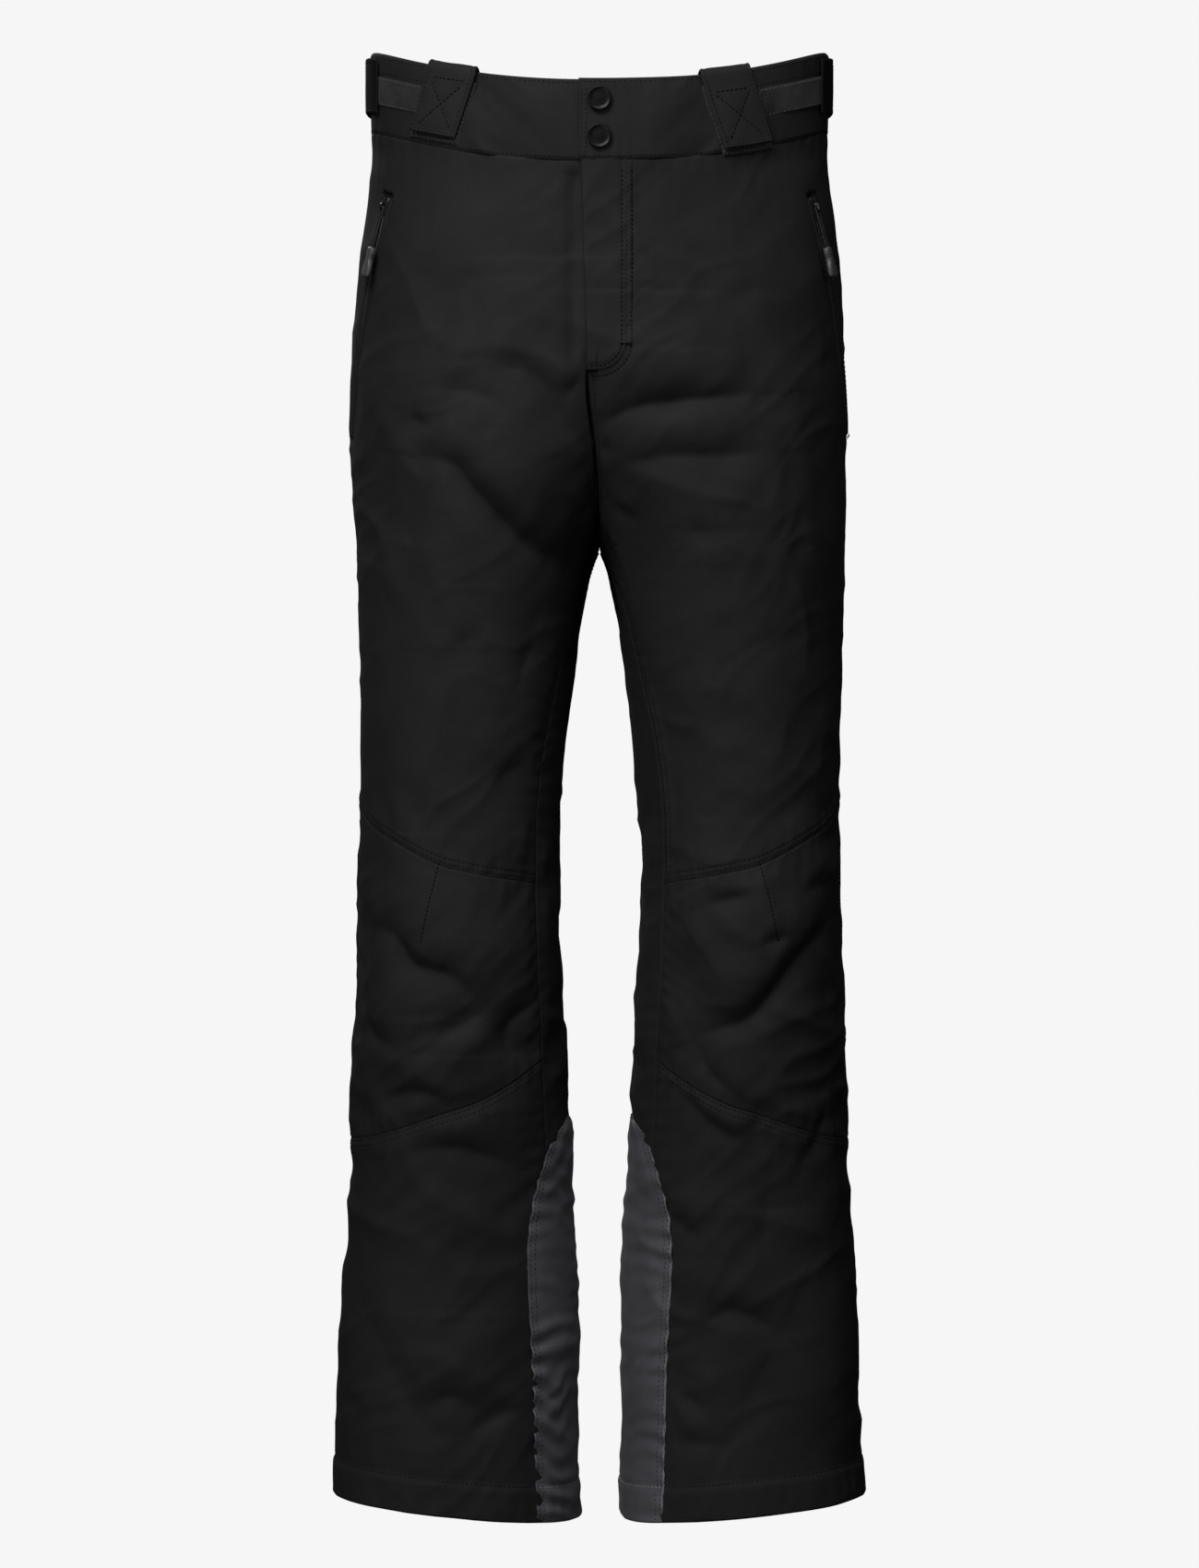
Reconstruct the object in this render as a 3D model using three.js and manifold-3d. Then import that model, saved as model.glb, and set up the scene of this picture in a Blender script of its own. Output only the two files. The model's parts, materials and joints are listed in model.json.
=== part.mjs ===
// Insulated ski pants, in millimetres. +Z is up, +X is the wearer's left and -Y is the wearer's front.
// The origin is the middle of the waist opening, halfway down the waistband. Each leg is a tube of
// cloth; above the crotch the two tubes run into each other and become one body.
import * as THREE from "three";
import { mergeVertices } from "three/addons/utils/BufferGeometryUtils.js";
import Module from "manifold-3d";

const wasm = await Module();
wasm.setup();

// ---- Driving dimensions ----
const BAND_TOP = 30; // top edge of the waistband at the sides, above the origin
const BAND_HEIGHT = 60;
const BAND_THICKNESS = 3;
const FRONT_DIP = 33; // how much lower the top edge runs at the centre front
const BACK_DIP = 3;
const RISE = 367; // top edge at the side down to the crotch
const INSEAM = 712; // crotch down to the inner hem
const KNEE_DROP = 300; // crotch down to the back of the knee
const WAIST_HALF_WIDTH = 169;
const HIP_HALF_WIDTH = 184.5;
const HEM_OUTER = 198;
const HEM_INNER = 16;
const HEM_RISE = 18; // the hem is this much higher at the outer edge than at the inner one
const ROUNDNESS = 2.25; // exponent of the section: 2 is an ellipse, more is squarer
const SHELL = 2.5; // shell cloth with its wadding
const SEAM_GAP = 0.4; // half the gap between two panels along a seam
const LAYER_GAP = 0.8; // between two curved layers that lie on each other
const SIDE_SEAM = 195; // degrees round the leg; 90 is the front, 180 the outer side, 270 the back
const CUT_BELOW_CROTCH = 13; // where the legs begin to swing

const CROTCH_Z = BAND_TOP - RISE;
const HEM_Z = CROTCH_Z - INSEAM;
const KNEE_Z = CROTCH_Z - KNEE_DROP;
const LEG_TOP_Z = CROTCH_Z - CUT_BELOW_CROTCH;
const SHIN_LENGTH = INSEAM - KNEE_DROP;

// Fly, waist tab and press studs.
const TAB_LEFT = -15; // free edge of the tab
const FLAP_LEFT = -10.5; // free edge of the fly flap
const FLY_HINGE_X = 20.5; // the stitching that the flap and tab open from
const FLY_LENGTH = 152; // below the waistband
const TAB_THICKNESS = 2.2;
const FLAP_THICKNESS = 1.8;
const TAB_STANDOFF = 5.2; // outer face of the tab above the band it covers
const FLAP_STANDOFF = 4.6;
const SNAP_INSET = 15.4; // a press stud's centre from the band's top or bottom edge
const SNAP_CAP_RADIUS = 8.6;
const STUD_HEAD_RADIUS = 2.9;
const STUD_CLEARANCE = 0.5;
const STUD_BACK_RADIUS = 4.5;
const STUD_SEAT = 0.6; // from the band's inner face to the stud's rear disc
const POST_RADIUS = 1.6;
const POST_CLEARANCE = 0.5;

// Zips: two tapes with a coil each, and a slider that grips them from the front and the back.
const TAPE_THICKNESS = 0.9;
const TAPE_GAP = 1.2;
const COIL_HEIGHT = 0.9;
const COIL_WIDTH = 1.6;
const ZIP_CLEARANCE = 0.35;
const SLIDER_LENGTH = 9;
const SLIDER_WIDTH = 7;
const SLIDER_BODY = 1.8; // thickness of its front plate
const FLY_TAPE_WIDTH = 11;
const FLY_ZIP_X = 7.4;
const POCKET_TAPE_WIDTH = 3.4;
const POCKET_SLOT_MARGIN = 0.6;
const POCKET_TOP_Z = -84;
const POCKET_TOP_ANGLE = 150.5;
const POCKET_BOTTOM_ANGLE = 170;
const POCKET_ZIP_DROP = 179; // height from the zip's top to its bottom
const PULL_CORD_RADIUS = 0.8;
const PULL_CORD_LENGTH = 30;
const PULL_CORD_SPREAD = 2.6;
const PULL_SWING = 8; // degrees that the pull hangs off the zip's line, nearer to plumb
const PULL_LIFT = 1.4; // how far the grip stands off past the slider's arch
const GRIP_LENGTH = 23;
const GRIP_WIDTH = 11;
const GRIP_THICKNESS = 5;

// Suspender tabs, waist adjusters and belt loops.
const SUSPENDER_ANGLE = 123;
const SUSPENDER_LEAN = 14; // degrees that the tab's lower end leans outwards
const SUSPENDER_WIDTH = 40;
const SUSPENDER_HEIGHT = 58;
const SUSPENDER_THICKNESS = 2;
const SUSPENDER_STANDOFF = 5; // inner face of the tab above the band
const FOLD_CLEARANCE = 0.9; // inner face of its fold above the band's highest edge under it
const BASE_THICKNESS = 1.2;
const HOOK_HEIGHT = 18;
const HOOK_THICKNESS = 1;
const ADJUSTER_FRONT = 157;
const ADJUSTER_BACK = 222;
const ADJUSTER_HEIGHT = 40;
const ADJUSTER_THICKNESS = 2;
const LOOP_PANEL_FRONT = 137;
const LOOP_PANEL_HEIGHT = 20;
const LOOP_PANEL_THICKNESS = 0.8;
const LOOP_PANEL_DROP = 18; // below the band's top edge
const BELT_LOOP_ANGLE = 243;
const BELT_LOOP_WIDTH = 12;
const BELT_LOOP_HEIGHT = 50;
const BELT_LOOP_GAP = 3;

// Inner pieces.
const LINING_DEPTH = 13; // behind the outer face
const LINING_THICKNESS = 1.2;
const POCKET_BAG_DEPTH = 5.2;
const POCKET_BAG_THICKNESS = 2;
const GAITER_HEIGHT = 150;
const GAITER_DEPTH = 5; // behind the outer face where it is sewn in
const GAITER_THICKNESS = 1.5;
const GAITER_INSET = 22; // how far the gaiter's elastic edge is drawn in

const DEG = Math.PI / 180;
const lerp = THREE.MathUtils.lerp;
const V = (x, y, z) => new THREE.Vector3(x, y, z);

// A smooth curve through [position, value] points, in rising or falling order of position.
function smoothThrough(points) {
  const p = [...points].sort((a, b) => a[0] - b[0]);
  const slope = (i) => {
    const lo = p[Math.max(i - 1, 0)];
    const hi = p[Math.min(i + 1, p.length - 1)];
    return (hi[1] - lo[1]) / (hi[0] - lo[0]);
  };
  return (at) => {
    const t = THREE.MathUtils.clamp(at, p[0][0], p[p.length - 1][0]);
    let i = 0;
    while (i < p.length - 2 && t > p[i + 1][0]) i += 1;
    const width = p[i + 1][0] - p[i][0];
    const s = (t - p[i][0]) / width;
    const h = s * s * (3 - 2 * s);
    const start = slope(i) * width * s * (1 - s) * (1 - s);
    const end = slope(i + 1) * width * s * s * (s - 1);
    return lerp(p[i][1], p[i + 1][1], h) + start + end;
  };
}

// One half of the pants: height, outer edge, inner edge, front and back. An inner edge below zero lies
// across the middle, where the half is cut off and joined to the other one.
const inRise = (share) => BAND_TOP - share * RISE;
const inThigh = (share) => CROTCH_Z - share * KNEE_DROP;
const inShin = (share) => KNEE_Z - share * SHIN_LENGTH;
const STATIONS = [
  [inRise(0), WAIST_HALF_WIDTH, -WAIST_HALF_WIDTH, -99, 100],
  [inRise(0.16), WAIST_HALF_WIDTH, -WAIST_HALF_WIDTH, -103, 110],
  [inRise(0.25), WAIST_HALF_WIDTH + 2, -WAIST_HALF_WIDTH - 2, -105, 118],
  [inRise(0.35), 175.5, -163, -107, 129],
  [inRise(0.45), 180, -147, -109.5, 139],
  [inRise(0.58), 183, -112, -112, 148],
  [inRise(0.72), HIP_HALF_WIDTH, -70, -112.5, 151],
  [inRise(0.85), 183.5, -34, -111, 147],
  [inRise(1), 181, 0, -108, 134],
  [inThigh(0.1), 180.5, 8.5, -106, 126],
  [inThigh(0.25), 179.5, 16, -103, 116],
  [inThigh(0.5), 178.3, 25, -100, 100],
  [inThigh(0.75), 178, 29.5, -98, 87],
  [inThigh(1), 179, 28.7, -97, 77],
  [inShin(0.18), 181.5, 26, -90, 75],
  [inShin(0.4), 185, 22.5, -80, 79],
  [inShin(0.65), 192, 17.5, -75.5, 84],
  [inShin(1), HEM_OUTER, HEM_INNER, -76, 88],
];
const profile = [1, 2, 3, 4].map((k) => smoothThrough(STATIONS.map((s) => [s[0], s[k]])));

function section(z) {
  const [outer, inner, front, back] = profile.map((f) => f(z));
  const halfWidth = (outer - inner) / 2;
  return { cx: (outer + inner) / 2, cy: (front + back) / 2, a: halfWidth, b: (back - front) / 2 };
}

const power = (v, e) => Math.sign(v) * Math.abs(v) ** e;

// The cloth's outer face at an angle round the leg and a height.
function surface(angle, z) {
  const { cx, cy, a, b } = section(z);
  const e = 2 / ROUNDNESS;
  const x = cx - a * power(Math.cos(angle * DEG), e);
  return V(x, cy - b * power(Math.sin(angle * DEG), e), z);
}

function surfaceNormal(angle, z) {
  const round = surface(angle + 0.5, z).sub(surface(angle - 0.5, z));
  const up = surface(angle, z + 1).sub(surface(angle, z - 1));
  return round.cross(up).normalize();
}

const raised = (angle, z, height) =>
  surface(angle, z).addScaledVector(surfaceNormal(angle, z), height);

// The angle at which the front of a section passes a given distance from the middle.
function angleAtX(x, z) {
  const { cx, a } = section(z);
  const share = THREE.MathUtils.clamp((cx - x) / a, -1, 1);
  return Math.acos(power(share, ROUNDNESS / 2)) / DEG;
}

// The front face's depth at a distance from the middle.
const frontY = (x, z) => surface(angleAtX(x, z), z).y;

// ---- Seams ----
const inseam = smoothThrough([
  [CROTCH_Z, 0],
  [inThigh(0.1), 22],
  [inThigh(0.27), 31],
  [inThigh(0.55), 41],
  [inThigh(1), 41],
  [inShin(0.2), 39],
  [inShin(1), 38],
]);
const frontEdge = (z) =>
  (z > CROTCH_Z ? angleAtX(SEAM_GAP, z) : inseam(z) + seamStep(inseam(z), z));
const backEdge = (z) =>
  (z > CROTCH_Z ? 360 - angleAtX(SEAM_GAP, z) : 360 + inseam(z) - seamStep(inseam(z), z));
const upperKneeSeam = smoothThrough(
  [[40, 55], [90, 66], [135, 92], [SIDE_SEAM, 115], [235, 50], [270, 0], [330, 25], [400, 55]].map(
    ([angle, above]) => [angle, KNEE_Z + above],
  ),
);
const lowerKneeSeam = smoothThrough(
  [[40, 74], [90, 108], [135, 128], [SIDE_SEAM, 135]].map(([angle, below]) => [
    angle,
    KNEE_Z - below,
  ]),
);

// Degrees that half a seam's gap takes up round the leg.
function seamStep(angle, z) {
  const perDegree = surface(angle + 0.5, z).distanceTo(surface(angle - 0.5, z));
  return SEAM_GAP / perDegree;
}
const sideSeamFront = (z) => SIDE_SEAM - seamStep(SIDE_SEAM, z);
const sideSeamBack = (z) => SIDE_SEAM + seamStep(SIDE_SEAM, z);

// The waistband's edges, which dip at the centre front.
function bandTop(angle) {
  const deep = Math.abs(Math.sin(angle * DEG)) ** (4 / ROUNDNESS);
  return BAND_TOP - (angle < 180 ? FRONT_DIP : BACK_DIP) * deep;
}
const bandBottom = (angle) => bandTop(angle) - BAND_HEIGHT;
const hemLine = () => HEM_Z - 12; // below the true hem, which is cut flat afterwards

// ---- Solids ----
const indexed = (positions, triangles) =>
  new THREE.BufferGeometry()
    .setAttribute("position", new THREE.Float32BufferAttribute(positions, 3))
    .setIndex(triangles);

// A closed solid between two grids of points, rows of columns. The first grid faces out.
// A ring's last column meets its first.
function between(outer, inner, ring = false) {
  const rows = outer.length;
  const columns = outer[0].length;
  const positions = [...outer.flat(), ...inner.flat()].flatMap((p) => [p.x, p.y, p.z]);
  const triangles = [];
  const quad = (a, b, c, d) => triangles.push(a, b, c, a, c, d);
  const out = (j, i) => j * columns + (i % columns);
  const inn = (j, i) => rows * columns + out(j, i);
  const last = ring ? columns : columns - 1;
  for (let j = 0; j < rows - 1; j += 1) {
    for (let i = 0; i < last; i += 1) {
      quad(out(j, i), out(j, i + 1), out(j + 1, i + 1), out(j + 1, i));
      quad(inn(j, i), inn(j + 1, i), inn(j + 1, i + 1), inn(j, i + 1));
    }
    if (!ring) {
      quad(out(j, 0), out(j + 1, 0), inn(j + 1, 0), inn(j, 0));
      quad(out(j, last), inn(j, last), inn(j + 1, last), out(j + 1, last));
    }
  }
  for (let i = 0; i < last; i += 1) {
    quad(out(0, i), inn(0, i), inn(0, i + 1), out(0, i + 1));
    quad(out(rows - 1, i), out(rows - 1, i + 1), inn(rows - 1, i + 1), inn(rows - 1, i));
  }
  return indexed(positions, triangles);
}

// A grid of points on the cloth, raised by a height, between two angles and two heights. The angles
// may depend on the height and the heights on the angle.
function clothGrid({ from, to, low, high, columns, rows, height }) {
  const grid = [];
  for (let j = 0; j <= rows; j += 1) {
    const row = [];
    for (let i = 0; i <= columns; i += 1) {
      let angle = lerp(from(CROTCH_Z + RISE / 2), to(CROTCH_Z + RISE / 2), i / columns);
      let z = 0;
      for (let pass = 0; pass < 6; pass += 1) {
        z = lerp(low(angle), high(angle), j / rows);
        angle = lerp(from(z), to(z), i / columns);
      }
      row.push(raised(angle, z, height(angle, z)));
    }
    grid.push(row);
  }
  return grid;
}

// A layer of cloth between two heights above the outer face.
function cloth({ top, thickness, ...area }) {
  const height = typeof top === "function" ? top : () => top;
  return between(
    clothGrid({ ...area, height }),
    clothGrid({ ...area, height: (angle, z) => height(angle, z) - thickness }),
  );
}

const always = (value) => () => value;

function solid(geometry) {
  const plain = geometry.clone();
  plain.deleteAttribute("normal");
  plain.deleteAttribute("uv");
  const merged = mergeVertices(plain, 1e-4);
  return new wasm.Manifold(
    new wasm.Mesh({
      numProp: 3,
      vertProperties: merged.attributes.position.array,
      triVerts: new Uint32Array(merged.index.array),
    }),
  );
}

function geometryOf(manifold) {
  const mesh = manifold.getMesh();
  return indexed(Array.from(mesh.vertProperties), Array.from(mesh.triVerts));
}

const cut = (geometry, ...tools) =>
  geometryOf(tools.reduce((left, tool) => left.subtract(solid(tool)), solid(geometry)));
const join = (...geometries) =>
  geometryOf(geometries.map(solid).reduce((all, next) => all.add(next)));

const box = (width, depth, height, x = 0, y = 0, z = 0) =>
  new THREE.BoxGeometry(width, depth, height).translate(x, y, z);

// An outline in X and Z, given a thickness that runs from y = 0 towards the front.
function plate(points, thickness, holes = []) {
  const shape = new THREE.Shape(points.map(([x, z]) => new THREE.Vector2(x, z)));
  holes.forEach(([x, z, radius]) => {
    shape.holes.push(new THREE.Path().absarc(x, z, radius, 0, 2 * Math.PI));
  });
  return new THREE.ExtrudeGeometry(shape, {
    depth: thickness,
    bevelEnabled: false,
    curveSegments: 12,
  }).rotateX(Math.PI / 2);
}

// Points of a rectangle with its lower corners rounded.
function roundedRectangle(left, right, low, high, radius, steps = 4) {
  const points = [[left, high]];
  for (let i = 0; i <= steps; i += 1) {
    const turn = (i / steps) * 90 * DEG;
    points.push([left + radius * (1 - Math.cos(turn)), low + radius * (1 - Math.sin(turn))]);
  }
  for (let i = steps; i >= 0; i -= 1) {
    const turn = (i / steps) * 90 * DEG;
    points.push([right - radius * (1 - Math.cos(turn)), low + radius * (1 - Math.sin(turn))]);
  }
  points.push([right, high]);
  return points;
}

// The same solid on the other side of the middle.
const mirrored = (geometry) => geometryOf(solid(geometry).scale([-1, 1, 1]));

// A turned piece about a line that points to the front, from [radius, height] points.
const turned = (points, segments = 16) =>
  new THREE.LatheGeometry(
    points.map(([radius, height]) => new THREE.Vector2(radius, height)),
    segments,
  ).rotateX(Math.PI);

// ---- Materials ----
const paint = (color, roughness, metalness = 0) =>
  new THREE.MeshStandardMaterial({ color, roughness, metalness });
const shellCloth = paint(0x232325, 0.75);
const patchCloth = paint(0x35343a, 0.5);
const liningCloth = paint(0x2b2b2e, 0.8);
const hookAndLoop = paint(0x1e1e20, 0.95);
const zipTape = paint(0x3a3a3d, 0.6);
const enamel = paint(0x0a0a0b, 0.25, 0.6);
const steel = paint(0x6a6a6e, 0.35, 0.9);
const mouldedRubber = paint(0x46464c, 0.55);
const cordCloth = paint(0x141416, 0.8);

const pants = new THREE.Group();

function add(parent, name, geometry, material) {
  const mesh = new THREE.Mesh(geometry, material);
  mesh.name = name;
  parent.add(mesh);
  return mesh;
}

// A group that swings or slides: its joint is at its own origin, along its own axis, and what is added
// to the group it returns is still placed in the parent's frame.
function moving(parent, name, pivot, axis) {
  const joint = new THREE.Group();
  joint.name = name;
  joint.position.copy(pivot);
  joint.userData.axis = axis.toArray();
  parent.add(joint);
  const held = new THREE.Group();
  held.position.copy(pivot).negate();
  joint.add(held);
  return held;
}

// A group on the cloth whose X runs round the body towards the side, Y into it and Z up along it.
function standing(parent, origin, normal) {
  const inward = normal.clone().negate();
  const up = V(0, 0, 1).addScaledVector(normal, -normal.z).normalize();
  const group = new THREE.Group();
  group.matrixAutoUpdate = false;
  group.matrix.makeBasis(inward.clone().cross(up), inward, up).setPosition(origin);
  parent.add(group);
  return group;
}

// ---- Fly: flap, waist tab, press studs, zip and underlap ----
const bandFrontTop = bandTop(90);
const bandFrontLow = bandBottom(90);
const bandMiddle = (bandFrontTop + bandFrontLow) / 2;
const flyLow = bandFrontLow - FLY_LENGTH;
const FLY_CORNER = 22; // radius of the flap's rounded lower corner
const FLY_HOLE_LEFT = -5;

// The fly is built on a plane that leans with the belly and rests on its most forward point. In its
// frame X is across, -Y is out of the cloth and Z = 0 is the waistband's top edge.
const mostForward = (z) => Math.min(frontY(SEAM_GAP, z), frontY(FLY_HINGE_X, z));
const flySlope = (mostForward(flyLow) - mostForward(bandFrontTop)) / (bandFrontTop - flyLow);
function flyPlaneY() {
  let best = Infinity;
  for (let z = flyLow; z <= bandFrontTop; z += 2) {
    best = Math.min(best, mostForward(z) - flySlope * (bandFrontTop - z));
  }
  return best;
}
const flyFrame = new THREE.Matrix4()
  .makeTranslation(0, flyPlaneY(), bandFrontTop)
  .multiply(new THREE.Matrix4().makeRotationX(Math.atan(flySlope)));
const inFly = (geometry) => geometry.applyMatrix4(flyFrame);
// How far behind the fly's plane the body's outer face lies at a spot in the fly's frame.
function behindFly(x, z) {
  const spot = V(x, 0, z).applyMatrix4(flyFrame);
  return frontY(x, spot.z) - spot.y;
}
const ZIP_TOP = -BAND_HEIGHT - 4; // in the fly's frame
const FLY_ZIP_LENGTH = FLY_LENGTH - 22;

// The fly's outline below the band, with its lower corner on the hinge side rounded.
function flyOutline(left, right, high, low) {
  const points = [[left, high], [left, low]];
  for (let i = 0; i <= 4; i += 1) {
    const turn = (i / 4) * 90 * DEG;
    points.push([right - FLY_CORNER * (1 - Math.sin(turn)), low + FLY_CORNER * (1 - Math.cos(turn))]);
  }
  points.push([right, high]);
  return points;
}

const flyHole = () => plate(
  flyOutline(FLY_HOLE_LEFT, FLY_HINGE_X + SEAM_GAP, bandFrontLow + 8, flyLow - 1),
  200,
);

function buildFly() {
  const pivot = V(FLY_HINGE_X, -TAB_STANDOFF - 0.1, 0).applyMatrix4(flyFrame);
  const axis = V(0, 0, 1).transformDirection(flyFrame);
  const swinging = moving(pants, "waist_tab_hinge", pivot, axis);
  const right = FLY_HINGE_X - SEAM_GAP;
  const snaps = { upper: -SNAP_INSET, lower: -BAND_HEIGHT + SNAP_INSET + 2 };

  const holes = Object.values(snaps).map((z) => [0, z, POST_RADIUS + POST_CLEARANCE]);
  const tabOutline = roundedRectangle(TAB_LEFT, right, -BAND_HEIGHT, 0, 3);
  const tab = plate(tabOutline, TAB_THICKNESS, holes).translate(0, TAB_THICKNESS - TAB_STANDOFF, 0);
  add(swinging, "waist_tab", inFly(tab), shellCloth);

  const flapTop = -BAND_HEIGHT - 2 * SEAM_GAP;
  const flapOutline = flyOutline(FLAP_LEFT, right, flapTop, -BAND_HEIGHT - FLY_LENGTH);
  const flap = plate(flapOutline, FLAP_THICKNESS).translate(0, FLAP_THICKNESS - FLAP_STANDOFF, 0);
  add(swinging, "fly_flap", inFly(flap), shellCloth);

  Object.entries(snaps).forEach(([name, z]) => {
    const place = (geometry) => inFly(geometry.translate(0, 0, z));
    add(swinging, `snap_cap_${name}`, place(snapCap()), enamel);
    add(swinging, `snap_socket_${name}`, place(snapSocket()), steel);
    const seat = Math.max(...[-STUD_BACK_RADIUS, 0].map((x) => behindFly(x, z)));
    add(pants, `snap_stud_${name}`, place(snapStud(seat + BAND_THICKNESS + STUD_SEAT)), steel);
  });
  buildFlyZip();
}

// The press stud's pieces, from [radius, height above the fly's plane].
const POST_HOLE = POST_RADIUS + POST_CLEARANCE;
const SOCKET_PLATE = TAB_STANDOFF - TAB_THICKNESS - 0.3;
const SOCKET_INSIDE = STUD_HEAD_RADIUS + STUD_CLEARANCE;
const snapCap = () => turned([
  [0, SOCKET_PLATE - 0.6],
  [POST_RADIUS, SOCKET_PLATE - 0.6],
  [POST_RADIUS, TAB_STANDOFF + 0.3],
  [SNAP_CAP_RADIUS - 0.6, TAB_STANDOFF + 0.3],
  [SNAP_CAP_RADIUS, TAB_STANDOFF + 0.8],
  [SNAP_CAP_RADIUS, TAB_STANDOFF + 1.5],
  [SNAP_CAP_RADIUS - 0.9, TAB_STANDOFF + 2.1],
  [SNAP_CAP_RADIUS - 1.7, TAB_STANDOFF + 1.7],
  [0, TAB_STANDOFF + 1.7],
], 20);
const snapSocket = () => turned([
  [POST_RADIUS + POST_CLEARANCE, SOCKET_PLATE],
  [POST_RADIUS + POST_CLEARANCE, SOCKET_PLATE - 0.6],
  [SOCKET_INSIDE, SOCKET_PLATE - 0.6],
  [SOCKET_INSIDE, SOCKET_PLATE - 2.1],
  [SOCKET_INSIDE + 1.6, SOCKET_PLATE - 2.1],
  [SOCKET_INSIDE + 1.6, SOCKET_PLATE],
  [POST_RADIUS + POST_CLEARANCE, SOCKET_PLATE],
], 14);
const snapStud = (depth) => turned([
  [0, -depth - 0.8],
  [STUD_BACK_RADIUS, -depth - 0.8],
  [STUD_BACK_RADIUS, -depth],
  [POST_RADIUS, -depth],
  [POST_RADIUS, 0.4],
  [STUD_HEAD_RADIUS - 0.6, 0.6],
  [STUD_HEAD_RADIUS, 1.1],
  [STUD_HEAD_RADIUS - 0.4, 1.7],
  [0, 1.7],
], 14);

// A slider seen along the zip: front plate, web between the tapes and rear plate. The tapes' front
// face is at height 0.
function sliderGeometry() {
  const front = COIL_HEIGHT + ZIP_CLEARANCE;
  const rear = -TAPE_THICKNESS - ZIP_CLEARANCE;
  const web = (TAPE_GAP - 2 * ZIP_CLEARANCE) / 2;
  const half = SLIDER_WIDTH / 2;
  const shape = new THREE.Shape(
    [
      [-half, front], [-half + 0.6, front + SLIDER_BODY], [half - 0.6, front + SLIDER_BODY],
      [half, front], [web, front], [web, rear], [half - 0.8, rear], [half - 0.8, rear - 0.7],
      [-half + 0.8, rear - 0.7], [-half + 0.8, rear], [-web, rear], [-web, front],
    ].map(([x, h]) => new THREE.Vector2(x, h)),
  );
  return new THREE.ExtrudeGeometry(shape, { depth: SLIDER_LENGTH, bevelEnabled: false })
    .translate(0, 0, -SLIDER_LENGTH / 2)
    .applyMatrix4(new THREE.Matrix4().makeBasis(V(1, 0, 0), V(0, -1, 0), V(0, 0, -1)));
}

// The arch on the slider's face that the pull hangs from.
const BRIDGE_GAP = 2 * PULL_CORD_RADIUS + 1;
const BRIDGE_HALF = BRIDGE_GAP / 2 + 1.2;
const BRIDGE_WIDTH = 1.8;
const sliderFace = COIL_HEIGHT + ZIP_CLEARANCE + SLIDER_BODY;
const bridgeHeight = sliderFace + BRIDGE_GAP / 2;
function bridgeGeometry() {
  const shape = new THREE.Shape(
    [
      [-BRIDGE_HALF, -0.3], [-BRIDGE_HALF, BRIDGE_GAP + 0.4], [-BRIDGE_HALF + 0.8, BRIDGE_GAP + 1],
      [BRIDGE_HALF - 0.8, BRIDGE_GAP + 1], [BRIDGE_HALF, BRIDGE_GAP + 0.4], [BRIDGE_HALF, -0.3],
      [BRIDGE_GAP / 2, -0.3], [BRIDGE_GAP / 2, BRIDGE_GAP], [-BRIDGE_GAP / 2, BRIDGE_GAP],
      [-BRIDGE_GAP / 2, -0.3],
    ].map(([z, h]) => new THREE.Vector2(z, sliderFace + h)),
  );
  // The arch is seen from the side: its outline runs along the zip and its depth across it.
  return new THREE.ExtrudeGeometry(shape, { depth: BRIDGE_WIDTH, bevelEnabled: false })
    .translate(0, 0, -BRIDGE_WIDTH / 2)
    .applyMatrix4(new THREE.Matrix4().makeBasis(V(0, 0, 1), V(0, -1, 0), V(1, 0, 0)));
}

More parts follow.
